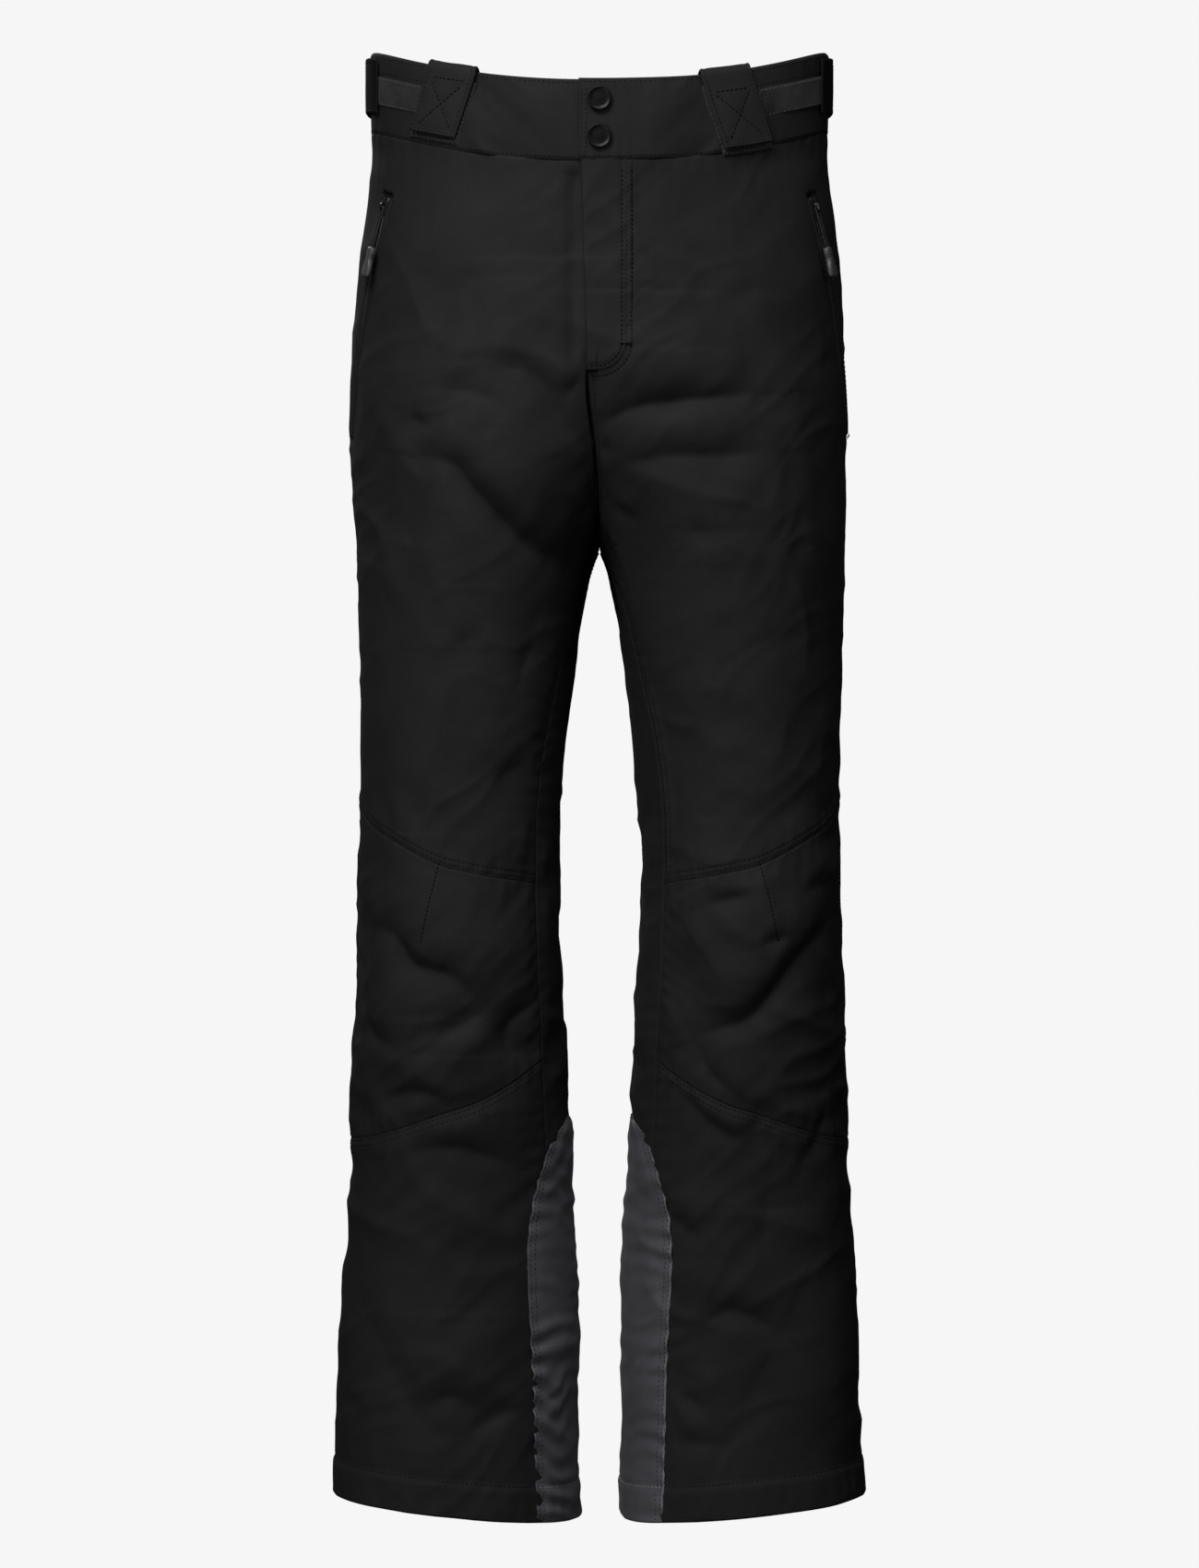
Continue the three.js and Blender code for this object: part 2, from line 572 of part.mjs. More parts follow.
function buildFlyZip() {
  const tapeFace = SHELL + 1.8; // depth behind the fly's plane
  const place = (geometry) => inFly(geometry.translate(FLY_ZIP_X, tapeFace, ZIP_TOP));
  const strips = [-1, 1].map((side) => {
    const middle = (side * (TAPE_GAP + FLY_TAPE_WIDTH)) / 2;
    const coil = (side * (TAPE_GAP + COIL_WIDTH)) / 2;
    const length = FLY_ZIP_LENGTH;
    return join(
      box(FLY_TAPE_WIDTH, TAPE_THICKNESS, length, middle, TAPE_THICKNESS / 2, -length / 2),
      box(COIL_WIDTH, COIL_HEIGHT + 0.2, length, coil, 0.1 - COIL_HEIGHT / 2, -length / 2),
    );
  });
  const stop = box(6, TAPE_THICKNESS, 4, 0, TAPE_THICKNESS / 2, -FLY_ZIP_LENGTH + 2);
  add(pants, "fly_zip_tape", place(join(...strips, stop)), zipTape);

  const guardThickness = 1.4;
  const depths = Array.from({ length: 21 }, (_, i) =>
    behindFly(FLY_HOLE_LEFT, ZIP_TOP - (i / 20) * (FLY_ZIP_LENGTH + 6)));
  const clearOfShell = Math.max(...depths) + SHELL + LAYER_GAP - tapeFace;
  const guardDepth = Math.max(TAPE_THICKNESS + ZIP_CLEARANCE + 2, clearOfShell);
  const guard = plate(roundedRectangle(-12.5, 16, -FLY_ZIP_LENGTH - 6, 0, 6), guardThickness);
  add(pants, "fly_underlap", place(guard.translate(0, guardDepth + guardThickness, 0)), shellCloth);

  const sliderZ = -SLIDER_LENGTH / 2 - 1;
  const start = V(FLY_ZIP_X, tapeFace, ZIP_TOP + sliderZ).applyMatrix4(flyFrame);
  const down = V(0, 0, -1).transformDirection(flyFrame);
  const sliding = moving(pants, "fly_slider_slide", start, down);
  const slider = join(sliderGeometry(), bridgeGeometry()).translate(0, 0, sliderZ);
  add(sliding, "fly_slider", place(slider), steel);

  // The pull hangs straight down: the closed flap leaves it no room to swing.
  const ring = join(
    box(2 * BRIDGE_WIDTH + 1.5, 0.9, 1.1),
    ...[-1, 1].map((side) => box(1.1, 0.9, 6, side * 2, 0, -2.6)),
    box(5.1, 0.9, 12, 0, 0, -11),
  );
  add(sliding, "fly_pull", place(ring.translate(0, -bridgeHeight, sliderZ)), steel);
}

// ---- Pocket zips ----
// The zip runs on the arc of a circle that follows the hip.
const ARC_STEPS = 8;
function pocketArc() {
  const lowZ = POCKET_TOP_Z - POCKET_ZIP_DROP;
  const middleZ = (POCKET_TOP_Z + lowZ) / 2;
  const depth = -SHELL + COIL_HEIGHT;
  const top = raised(POCKET_TOP_ANGLE, POCKET_TOP_Z, depth);
  const bottom = raised(POCKET_BOTTOM_ANGLE, lowZ, depth);
  const chord = bottom.clone().sub(top);
  let low = POCKET_TOP_ANGLE;
  let high = POCKET_BOTTOM_ANGLE;
  const guess = (low + high) / 2;
  const plane = chord.clone().cross(surfaceNormal(guess, middleZ));
  const off = (angle) => raised(angle, middleZ, depth).sub(top).dot(plane);
  const rising = off(high) > off(low) ? 1 : -1;
  for (let pass = 0; pass < 40; pass += 1) {
    const half = (low + high) / 2;
    if (off(half) * rising > 0) high = half;
    else low = half;
  }
  const middle = raised(low, middleZ, depth);
  // The centre of the circle through the three points.
  const u = middle.clone().sub(top);
  const w = bottom.clone().sub(top);
  const axis = u.clone().cross(w);
  const centre = axis.clone().cross(u).multiplyScalar(w.lengthSq())
    .add(w.clone().cross(axis).multiplyScalar(u.lengthSq()))
    .divideScalar(2 * axis.lengthSq())
    .add(top);
  axis.normalize();
  const radius = centre.distanceTo(top);
  const spoke = top.clone().sub(centre);
  const whole = spoke.angleTo(bottom.clone().sub(centre));
  return { centre, axis, radius, top, whole, length: radius * whole };
}

// The frame at a share of the way down the zip: X across, -Y out of the cloth, Z back up the zip.
function arcFrame(arc, share) {
  const spoke = arc.top.clone().sub(arc.centre).applyAxisAngle(arc.axis, arc.whole * share);
  const out = spoke.clone().normalize();
  const up = arc.axis.clone().cross(out).negate();
  const inward = out.clone().negate();
  return new THREE.Matrix4()
    .makeBasis(inward.clone().cross(up), inward, up)
    .setPosition(spoke.add(arc.centre));
}

// A strip along the zip between two distances across it and two heights above the tapes' face.
function arcStrip(arc, left, right, low, high, from, to, steps) {
  const grid = (height) => Array.from({ length: steps + 1 }, (_, j) => {
    const frame = arcFrame(arc, lerp(to, from, j / steps));
    return [left, right].map((x) => V(x, -height, 0).applyMatrix4(frame));
  });
  return between(grid(high), grid(low));
}

function buildPocketZip(parent, side, arc) {
  const near = TAPE_GAP / 2;
  const far = near + POCKET_TAPE_WIDTH;
  const tapes = [-1, 1].flatMap((hand) => {
    const [a, b] = [hand * near, hand * far].sort((p, q) => p - q);
    const [c, d] = [hand * near, hand * (near + COIL_WIDTH)].sort((p, q) => p - q);
    return [
      arcStrip(arc, a, b, -TAPE_THICKNESS, 0, 0, 1, ARC_STEPS),
      arcStrip(arc, c, d, -0.2, COIL_HEIGHT, 0, 1, ARC_STEPS),
    ];
  });
  const endShare = 5 / arc.length;
  const stop = arcStrip(arc, -far, far, -TAPE_THICKNESS, COIL_HEIGHT, 1 - endShare, 1, 1);
  add(parent, `pocket_zip_tape_${side}`, join(...tapes, stop), zipTape);

  const startShare = (SLIDER_LENGTH / 2 + 1) / arc.length;
  const frame = arcFrame(arc, startShare);
  const sliding = moving(parent, `pocket_slider_${side}_swing`, arc.centre, arc.axis);
  const slider = join(sliderGeometry(), bridgeGeometry()).applyMatrix4(frame);
  add(sliding, `pocket_slider_${side}`, slider, steel);

  // The pull hangs from the slider's arch, down beside the zip.
  const pivot = V(0, -bridgeHeight, 0).applyMatrix4(frame);
  const across = V(-1, 0, 0).transformDirection(frame);
  const pull = moving(sliding, `pocket_pull_${side}_hinge`, pivot, across);
  const place = (geometry) => geometry
    .rotateY(PULL_SWING * DEG)
    .translate(0, -bridgeHeight, 0)
    .applyMatrix4(frame);
  const cordPath = new THREE.CatmullRomCurve3([
    V(-PULL_CORD_SPREAD, -PULL_LIFT, -PULL_CORD_LENGTH),
    V(-PULL_CORD_SPREAD, -PULL_LIFT / 2, -PULL_CORD_LENGTH / 2),
    V(-PULL_CORD_SPREAD, 0, -2),
    V(-PULL_CORD_SPREAD * 0.8, 0, -0.6),
    V(0, 0, 0),
    V(PULL_CORD_SPREAD * 0.8, 0, -0.6),
    V(PULL_CORD_SPREAD, 0, -2),
    V(PULL_CORD_SPREAD, -PULL_LIFT / 2, -PULL_CORD_LENGTH / 2),
    V(PULL_CORD_SPREAD, -PULL_LIFT, -PULL_CORD_LENGTH),
  ]);
  const round = new THREE.Shape().absarc(0, 0, PULL_CORD_RADIUS, 0, 2 * Math.PI);
  const cord = new THREE.ExtrudeGeometry(round, {
    steps: 20,
    curveSegments: 3,
    extrudePath: cordPath,
    bevelEnabled: false,
  });
  add(pull, `pocket_pull_cord_${side}`, place(cord), cordCloth);
  add(pull, `pocket_pull_grip_${side}`, place(gripGeometry()), mouldedRubber);
}

// A waisted grip that widens to a blunt end, seen from the front.
function gripGeometry() {
  const half = GRIP_WIDTH / 2;
  const side = [[0.62, 0], [0.72, 0.17], [0.55, 0.4], [1, 0.65], [1, 0.87], [0.6, 1]];
  const down = side.map(([width, share]) => [-half * width, -share * GRIP_LENGTH]);
  const back = side.map(([width, share]) => [half * width, -share * GRIP_LENGTH]).reverse();
  return plate([...down, ...back], GRIP_THICKNESS)
    .translate(0, GRIP_THICKNESS / 2 - PULL_LIFT, -PULL_CORD_LENGTH - 0.3);
}

// ---- Waistband pieces that repeat on both sides ----
function buildSuspenderTab(parent, side) {
  const top = bandTop(SUSPENDER_ANGLE);
  const low = top - SUSPENDER_HEIGHT;
  const middle = (top + low) / 2;
  const perDegree = surface(SUSPENDER_ANGLE + 1, middle)
    .distanceTo(surface(SUSPENDER_ANGLE, middle));
  // A leaning patch: its lower end is further round towards the side.
  const patch = (left, right, bottom, high, height, thickness, rows) => {
    const lean = (z) => SUSPENDER_ANGLE + (Math.tan(SUSPENDER_LEAN * DEG) * (top - z)) / perDegree;
    return cloth({
      from: (z) => lean(z) + left / perDegree,
      to: (z) => lean(z) + right / perDegree,
      low: always(bottom),
      high: always(high),
      columns: 5,
      rows,
      top: height,
      thickness,
    });
  };
  const half = SUSPENDER_WIDTH / 2;
  const baseTop = LAYER_GAP + BASE_THICKNESS;
  const base = patch(-half - 2, half - 2, low - 1, top - 5, baseTop, BASE_THICKNESS, 2);
  add(parent, `suspender_base_${side}`, base, hookAndLoop);

  // The tab folds over the top edge of the band and swings up from behind it. The fold clears the
  // band's edge, which climbs towards the side.
  const foldRise = bandTop(SUSPENDER_ANGLE + half / perDegree) - top + FOLD_CLEARANCE;
  const fold = standing(parent, surface(SUSPENDER_ANGLE, top), surfaceNormal(SUSPENDER_ANGLE, top));
  const behind = BAND_THICKNESS + 2.5;
  const tabTop = SUSPENDER_STANDOFF + SUSPENDER_THICKNESS;
  const bridge = box(
    SUSPENDER_WIDTH - 1, behind + tabTop - 1, SUSPENDER_THICKNESS,
    0, (behind - tabTop + 1) / 2, foldRise + SUSPENDER_THICKNESS / 2,
  );
  bridge.applyMatrix4(fold.matrix);
  const pivot = V(0, behind, foldRise).applyMatrix4(fold.matrix);
  const axis = V(-1, 0, 0).transformDirection(fold.matrix);
  const swinging = moving(parent, `suspender_tab_${side}_hinge`, pivot, axis);
  const leafTop = top + foldRise + SUSPENDER_THICKNESS - 0.5;
  const leaf = patch(-half, half, low, leafTop, tabTop, SUSPENDER_THICKNESS, 3);
  add(swinging, `suspender_tab_${side}`, join(leaf, bridge), shellCloth);
  const hookTop = SUSPENDER_STANDOFF - LAYER_GAP;
  const hook = patch(
    -half + 2, half - 2, low + 2, low + 2 + HOOK_HEIGHT, hookTop, HOOK_THICKNESS, 1,
  );
  add(swinging, `suspender_hook_${side}`, hook, hookAndLoop);
}

function buildAdjuster(parent, side) {
  const layer = (from, to, height, drop, top, thickness, columns) => cloth({
    from: always(from),
    to: always(to),
    low: (angle) => bandTop(angle) - drop - height,
    high: (angle) => bandTop(angle) - drop,
    columns,
    rows: 2,
    top,
    thickness,
  });
  const panelTop = LAYER_GAP + LOOP_PANEL_THICKNESS;
  add(
    parent,
    `loop_panel_${side}`,
    layer(LOOP_PANEL_FRONT, 200, LOOP_PANEL_HEIGHT, LOOP_PANEL_DROP, panelTop, LOOP_PANEL_THICKNESS, 10),
    hookAndLoop,
  );
  const hookTop = panelTop + LAYER_GAP + HOOK_THICKNESS;
  const tabTop = hookTop + LAYER_GAP + ADJUSTER_THICKNESS;
  const hinge = raised(ADJUSTER_BACK, bandTop(ADJUSTER_BACK) - BAND_HEIGHT / 2, tabTop);
  const swinging = moving(parent, `adjuster_tab_${side}_hinge`, hinge, V(0, 0, 1));
  add(
    swinging,
    `adjuster_hook_${side}`,
    layer(ADJUSTER_FRONT + 2, 196, LOOP_PANEL_HEIGHT, LOOP_PANEL_DROP, hookTop, HOOK_THICKNESS, 8),
    hookAndLoop,
  );
  add(
    swinging,
    `adjuster_tab_${side}`,
    layer(ADJUSTER_FRONT, ADJUSTER_BACK, ADJUSTER_HEIGHT, 4, tabTop, ADJUSTER_THICKNESS, 12),
    shellCloth,
  );
}

function buildBeltLoop(parent, side) {
  const middle = bandTop(BELT_LOOP_ANGLE) - BAND_HEIGHT / 2;
  const normal = surfaceNormal(BELT_LOOP_ANGLE, middle);
  const frame = standing(parent, surface(BELT_LOOP_ANGLE, middle), normal);
  const half = BELT_LOOP_HEIGHT / 2;
  const foot = LAYER_GAP;
  const inside = foot + BELT_LOOP_GAP;
  const outside = inside + 1.6;
  const shape = new THREE.Shape(
    [
      [foot, -half], [outside, -half], [outside, half], [foot, half],
      [foot, half - 5], [inside, half - 5], [inside, -half + 5], [foot, -half + 5],
    ].map(([h, z]) => new THREE.Vector2(h, z)),
  );
  const loop = new THREE.ExtrudeGeometry(shape, { depth: BELT_LOOP_WIDTH, bevelEnabled: false })
    .translate(0, 0, -BELT_LOOP_WIDTH / 2)
    .applyMatrix4(new THREE.Matrix4().makeBasis(V(0, -1, 0), V(0, 0, 1), V(-1, 0, 0)));
  add(frame, `belt_loop_${side}`, loop, shellCloth);
}

// ---- Panels ----
function buildHipPanels(parent, side, arc) {
  const half = TAPE_GAP / 2 + POCKET_TAPE_WIDTH + POCKET_SLOT_MARGIN;
  const over = POCKET_SLOT_MARGIN / arc.length;
  const slot = arcStrip(arc, -half, half, -9, 9, -over, 1 + over, ARC_STEPS);
  const front = cloth({
    from: frontEdge,
    to: sideSeamFront,
    low: always(LEG_TOP_Z + SEAM_GAP),
    high: (angle) => bandBottom(angle) - SEAM_GAP,
    columns: 12,
    rows: 14,
    top: 0,
    thickness: SHELL,
  });
  // The fly's hole lies mostly in the left front panel, where the flap is hinged.
  const fly = side === "left" ? flyHole() : mirrored(flyHole());
  add(parent, `front_panel_${side}`, cut(front, slot, fly), shellCloth);
  add(
    parent,
    `back_panel_${side}`,
    cloth({
      from: sideSeamBack,
      to: backEdge,
      low: always(LEG_TOP_Z + SEAM_GAP),
      high: (angle) => bandBottom(Math.min(angle, 270)) - SEAM_GAP,
      columns: 12,
      rows: 14,
      top: 0,
      thickness: SHELL,
    }),
    shellCloth,
  );
  add(
    parent,
    `pocket_bag_${side}`,
    cloth({
      from: always(112),
      to: always(176),
      low: always(POCKET_TOP_Z - POCKET_ZIP_DROP - 22),
      high: always(POCKET_TOP_Z - 12),
      columns: 6,
      rows: 6,
      top: -POCKET_BAG_DEPTH,
      thickness: POCKET_BAG_THICKNESS,
    }),
    liningCloth,
  );
}

function buildLeg(parent, side) {
  const hipFront = surface(90, LEG_TOP_Z);
  const thigh = moving(parent, `thigh_${side}_hinge`, V(0, hipFront.y, LEG_TOP_Z), V(-1, 0, 0));
  const kneeBack = surface(270, KNEE_Z);
  const shin = moving(thigh, `shin_${side}_hinge`, V(0, kneeBack.y, KNEE_Z), V(1, 0, 0));
  const front = { from: frontEdge, to: sideSeamFront, columns: 10, top: 0, thickness: SHELL };
  const back = { from: sideSeamBack, to: backEdge, columns: 12, top: 0, thickness: SHELL };
  const legTop = always(LEG_TOP_Z - SEAM_GAP);
  const above = (seam) => (angle) => seam(angle) + SEAM_GAP;
  const below = (seam) => (angle) => seam(angle) - SEAM_GAP;
  const panel = (area, low, high, rows) => cloth({ ...area, low, high, rows });
  const hemSlope = Math.atan(HEM_RISE / (HEM_OUTER - HEM_INNER));
  const underHem = box(400, 400, 60, 0, 0, -30)
    .rotateY(-hemSlope)
    .translate(HEM_INNER, 0, HEM_Z);

  add(thigh, `thigh_front_${side}`, panel(front, above(upperKneeSeam), legTop, 7), shellCloth);
  add(thigh, `thigh_back_${side}`, panel(back, above(upperKneeSeam), legTop, 7), shellCloth);
  add(
    shin,
    `knee_panel_${side}`,
    panel(front, above(lowerKneeSeam), below(upperKneeSeam), 6),
    shellCloth,
  );
  add(
    shin,
    `shin_front_${side}`,
    cut(panel(front, hemLine, below(lowerKneeSeam), 7), underHem),
    shellCloth,
  );
  add(
    shin,
    `shin_back_${side}`,
    cut(panel(back, hemLine, below(upperKneeSeam), 9), underHem),
    shellCloth,
  );
  const patch = cloth({
    from: always(315),
    to: always(413),
    low: hemLine,
    high: (angle) => CROTCH_Z - 418 - 0.028 * (angle - 360) ** 2,
    columns: 8,
    rows: 6,
    top: LAYER_GAP + 1,
    thickness: 1,
  });
  add(shin, `kick_patch_${side}`, cut(patch, underHem), patchCloth);
  add(shin, `snow_gaiter_${side}`, gaiter(), liningCloth);
}

// A cuff inside the leg, sewn in at its top and drawn in by elastic at its lower edge.
function gaiter() {
  const rows = 4;
  const columns = 24;
  const low = HEM_Z + HEM_RISE + 6;
  const grid = (extra) => Array.from({ length: rows + 1 }, (_, j) => {
    const share = j / rows;
    const inset = lerp(GAITER_INSET, GAITER_DEPTH, share ** 0.6) + extra;
    const z = low + share * GAITER_HEIGHT;
    return Array.from({ length: columns }, (__, i) => raised((i / columns) * 360, z, -inset));
  });
  return between(grid(0), grid(GAITER_THICKNESS), true);
}

// The lining of the seat and hips, one ring round both halves.
function liningGeometry() {
  const rows = 5;
  const columns = 11;
  const low = CROTCH_Z + 14;
  const grid = (height) => Array.from({ length: rows + 1 }, (_, j) => {
    const share = j / rows;
    const half = Array.from({ length: columns + 1 }, (__, i) => {
      const angle = (z) => lerp(angleAtX(3, z), 360 - angleAtX(3, z), i / columns);
      let z = lerp(low, BAND_TOP - BAND_HEIGHT, share);
      for (let pass = 0; pass < 4; pass += 1) {
        z = lerp(low, bandBottom(THREE.MathUtils.clamp(angle(z), 90, 270)) - 2, share);
      }
      return raised(angle(z), z, height);
    });
    const other = half.map((p) => V(-p.x, p.y, p.z)).reverse();
    return [...half, ...other];
  });
  return between(grid(-LINING_DEPTH), grid(-LINING_DEPTH - LINING_THICKNESS), true);
}

// ---- Waistband ----
function buildWaistband(rightSide) {
  const band = (from, to, columns, top = 0) => cloth({
    from: always(from),
    to: always(to),
    low: bandBottom,
    high: bandTop,
    columns,
    rows: 2,
    top,
    thickness: BAND_THICKNESS,
  });
  const step = seamStep(SIDE_SEAM, 0);

  // The right half runs on past the centre, under the tab, and carries the studs.
  const underlapEnd = 180 - angleAtX(FLY_HINGE_X - 3, bandMiddle);
  const drills = [-SNAP_INSET, -BAND_HEIGHT + SNAP_INSET + 2].map((z) =>
    inFly(turned([[0, -30], [POST_HOLE, -30], [POST_HOLE, 30], [0, 30]], 14).translate(0, 0, z)));
  const rightFront = band(underlapEnd, SIDE_SEAM - step, 16);
  add(rightSide, "waistband_front_right", cut(rightFront, ...drills.map(mirrored)), shellCloth);

  // The left half rises towards the tab, so that the two are flush.
  const start = angleAtX(FLY_HINGE_X + SEAM_GAP, bandMiddle);
  const flushUntil = angleAtX(60, bandMiddle);
  const rise = (angle) =>
    TAB_STANDOFF * THREE.MathUtils.smoothstep(flushUntil - angle, 0, flushUntil - start);
  add(pants, "waistband_front_left", band(start, SIDE_SEAM - step, 15, rise), shellCloth);

  const half = band(SIDE_SEAM + step, 270.2, 9);
  add(pants, "waistband_back", join(half, mirrored(half)), shellCloth);
}

// A ribbon at the inside of the centre back, to hang the pants up by.
function hangerLoop() {
  const length = 34;
  const width = 26;
  const ribbon = 4;
  const outer = new THREE.Shape(
    roundedRectangle(-width / 2, width / 2, -length, 0, 8).map(([x, z]) => new THREE.Vector2(x, z)),
  );
  outer.holes.push(
    new THREE.Path(
      roundedRectangle(-width / 2 + ribbon, width / 2 - ribbon, -length + ribbon, -7, 5)
        .map(([x, z]) => new THREE.Vector2(x, z)),
    ),
  );
  const inside = surface(270, bandTop(270)).y - BAND_THICKNESS - LAYER_GAP;
  return new THREE.ExtrudeGeometry(outer, { depth: 1.2, bevelEnabled: false })
    .rotateX(Math.PI / 2)
    .translate(0, inside - 1, bandTop(270) - 5);
}

// ---- Assembly ----
const arc = pocketArc();
const rightSide = new THREE.Group();
rightSide.scale.x = -1;
pants.add(rightSide);
buildWaistband(rightSide);
buildFly();
[["left", pants], ["right", rightSide]].forEach(([side, parent]) => {
  buildHipPanels(parent, side, arc);
  buildPocketZip(parent, side, arc);
  buildSuspenderTab(parent, side);
  buildAdjuster(parent, side);
  buildBeltLoop(parent, side);
  buildLeg(parent, side);
});
add(pants, "hips_lining", liningGeometry(), liningCloth);
add(pants, "hanger_loop", hangerLoop(), cordCloth);

export default pants;
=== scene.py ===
"""Looks of a pair of insulated ski pants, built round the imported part.

The row frame is in metres: +Z up, +X the wearer's left, -Y the wearer's front. Shapes below are
worked out in millimetres and turned into metres when a mesh is made.
"""

import json
import logging
import math
from dataclasses import dataclass, field
from enum import Enum
from typing import Callable, Iterable, Optional, Sequence

import bpy
import numpy as np
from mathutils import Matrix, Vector


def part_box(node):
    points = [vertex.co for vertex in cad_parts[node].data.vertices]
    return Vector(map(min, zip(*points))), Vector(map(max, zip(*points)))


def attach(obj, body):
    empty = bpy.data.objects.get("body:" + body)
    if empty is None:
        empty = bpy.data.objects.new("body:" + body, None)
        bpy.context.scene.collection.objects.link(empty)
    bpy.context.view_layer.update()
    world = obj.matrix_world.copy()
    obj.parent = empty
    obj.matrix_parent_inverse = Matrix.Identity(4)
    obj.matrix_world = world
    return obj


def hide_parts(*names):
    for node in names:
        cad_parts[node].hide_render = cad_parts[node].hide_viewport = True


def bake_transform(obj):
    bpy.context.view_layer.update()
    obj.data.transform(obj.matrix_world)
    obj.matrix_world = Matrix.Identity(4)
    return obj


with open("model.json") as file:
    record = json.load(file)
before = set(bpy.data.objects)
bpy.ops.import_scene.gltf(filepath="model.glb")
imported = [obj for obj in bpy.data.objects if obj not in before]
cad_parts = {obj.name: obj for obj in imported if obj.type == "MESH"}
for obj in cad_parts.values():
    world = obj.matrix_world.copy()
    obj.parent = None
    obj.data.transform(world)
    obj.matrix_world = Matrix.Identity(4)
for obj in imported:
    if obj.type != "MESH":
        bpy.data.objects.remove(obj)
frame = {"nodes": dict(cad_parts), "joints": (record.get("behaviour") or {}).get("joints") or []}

LOG = logging.getLogger("ski_pants")
MM = 0.001
Array = np.ndarray
Curve = Callable[[Array], Array]
Place = Callable[[Array, Array], tuple[Array, Array]]
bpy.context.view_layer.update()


# ---- smooth helpers


def smooth_through(points: Sequence[tuple[float, float]]) -> Curve:
    """Make a smooth curve through points.

    Args:
        points: (position, value) pairs in any order.

    Returns:
        A function from positions to values, held level past both ends.
    """
    pts = sorted(points)
    xs = np.array([p[0] for p in pts], float)
    ys = np.array([p[1] for p in pts], float)
    lo = np.maximum(np.arange(len(xs)) - 1, 0)
    hi = np.minimum(np.arange(len(xs)) + 1, len(xs) - 1)
    slopes = (ys[hi] - ys[lo]) / (xs[hi] - xs[lo])

    def value(at: Array) -> Array:
        """Read the curve at positions."""
        t = np.clip(np.asarray(at, float), xs[0], xs[-1])
        i = np.clip(np.searchsorted(xs, t, side="right") - 1, 0, len(xs) - 2)
        width = xs[i + 1] - xs[i]
        s = (t - xs[i]) / width
        h = s * s * (3 - 2 * s)
        start = slopes[i] * width * s * (1 - s) ** 2
        end = slopes[i + 1] * width * s * s * (s - 1)
        return ys[i] * (1 - h) + ys[i + 1] * h + start + end

    return value


def smoothstep(value: Array, low: float, high: float) -> Array:
    """Rise smoothly from 0 at low to 1 at high."""
    t = np.clip((np.asarray(value, float) - low) / (high - low), 0, 1)
    return t * t * (3 - 2 * t)


def bell(distance: Array, width: float) -> Array:
    """Fall smoothly from 1 at no distance to nothing past about two widths."""
    return np.exp(-((distance / width) ** 2))


def unit(vectors: Array) -> Array:
    """Scale vectors to length 1."""
    return vectors / np.maximum(np.linalg.norm(vectors, axis=-1, keepdims=True), 1e-9)


def lattice(cells: Array, seed: int) -> Array:
    """Give each whole-number cell its own value from -1 to 1.

    Args:
        cells: whole numbers, last axis x, y, z.
        seed: another seed gives other values.

    Returns:
        One value for each cell.
    """
    c = cells.astype(np.int64)
    h = c[..., 0] * 374761393 + c[..., 1] * 668265263 + c[..., 2] * 2147483647 + seed * 144665
    h = (h ^ (h >> 13)) * 1274126177
    h = h ^ (h >> 16)
    return (h & 0xFFFF) / 32767.5 - 1.0


def noise(points: Array, size: Sequence[float], seed: int) -> Array:
    """Smooth noise from -1 to 1 that repeats nowhere near.

    Args:
        points: places in millimetres, last axis x, y, z.
        size: the noise's grain along x, y and z, in millimetres.
        seed: another seed gives another pattern.

    Returns:
        One value for each place.
    """
    q = points / np.asarray(size, float)
    base = np.floor(q)
    f = q - base
    f = f * f * f * (f * (f * 6 - 15) + 10)
    total = np.zeros(q.shape[:-1])
    for corner in range(8):
        step = np.array([corner & 1, (corner >> 1) & 1, (corner >> 2) & 1])
        weight = np.prod(np.where(step == 1, f, 1 - f), axis=-1)
        total += weight * lattice(base + step, seed)
    return total


# ---- the body's shape


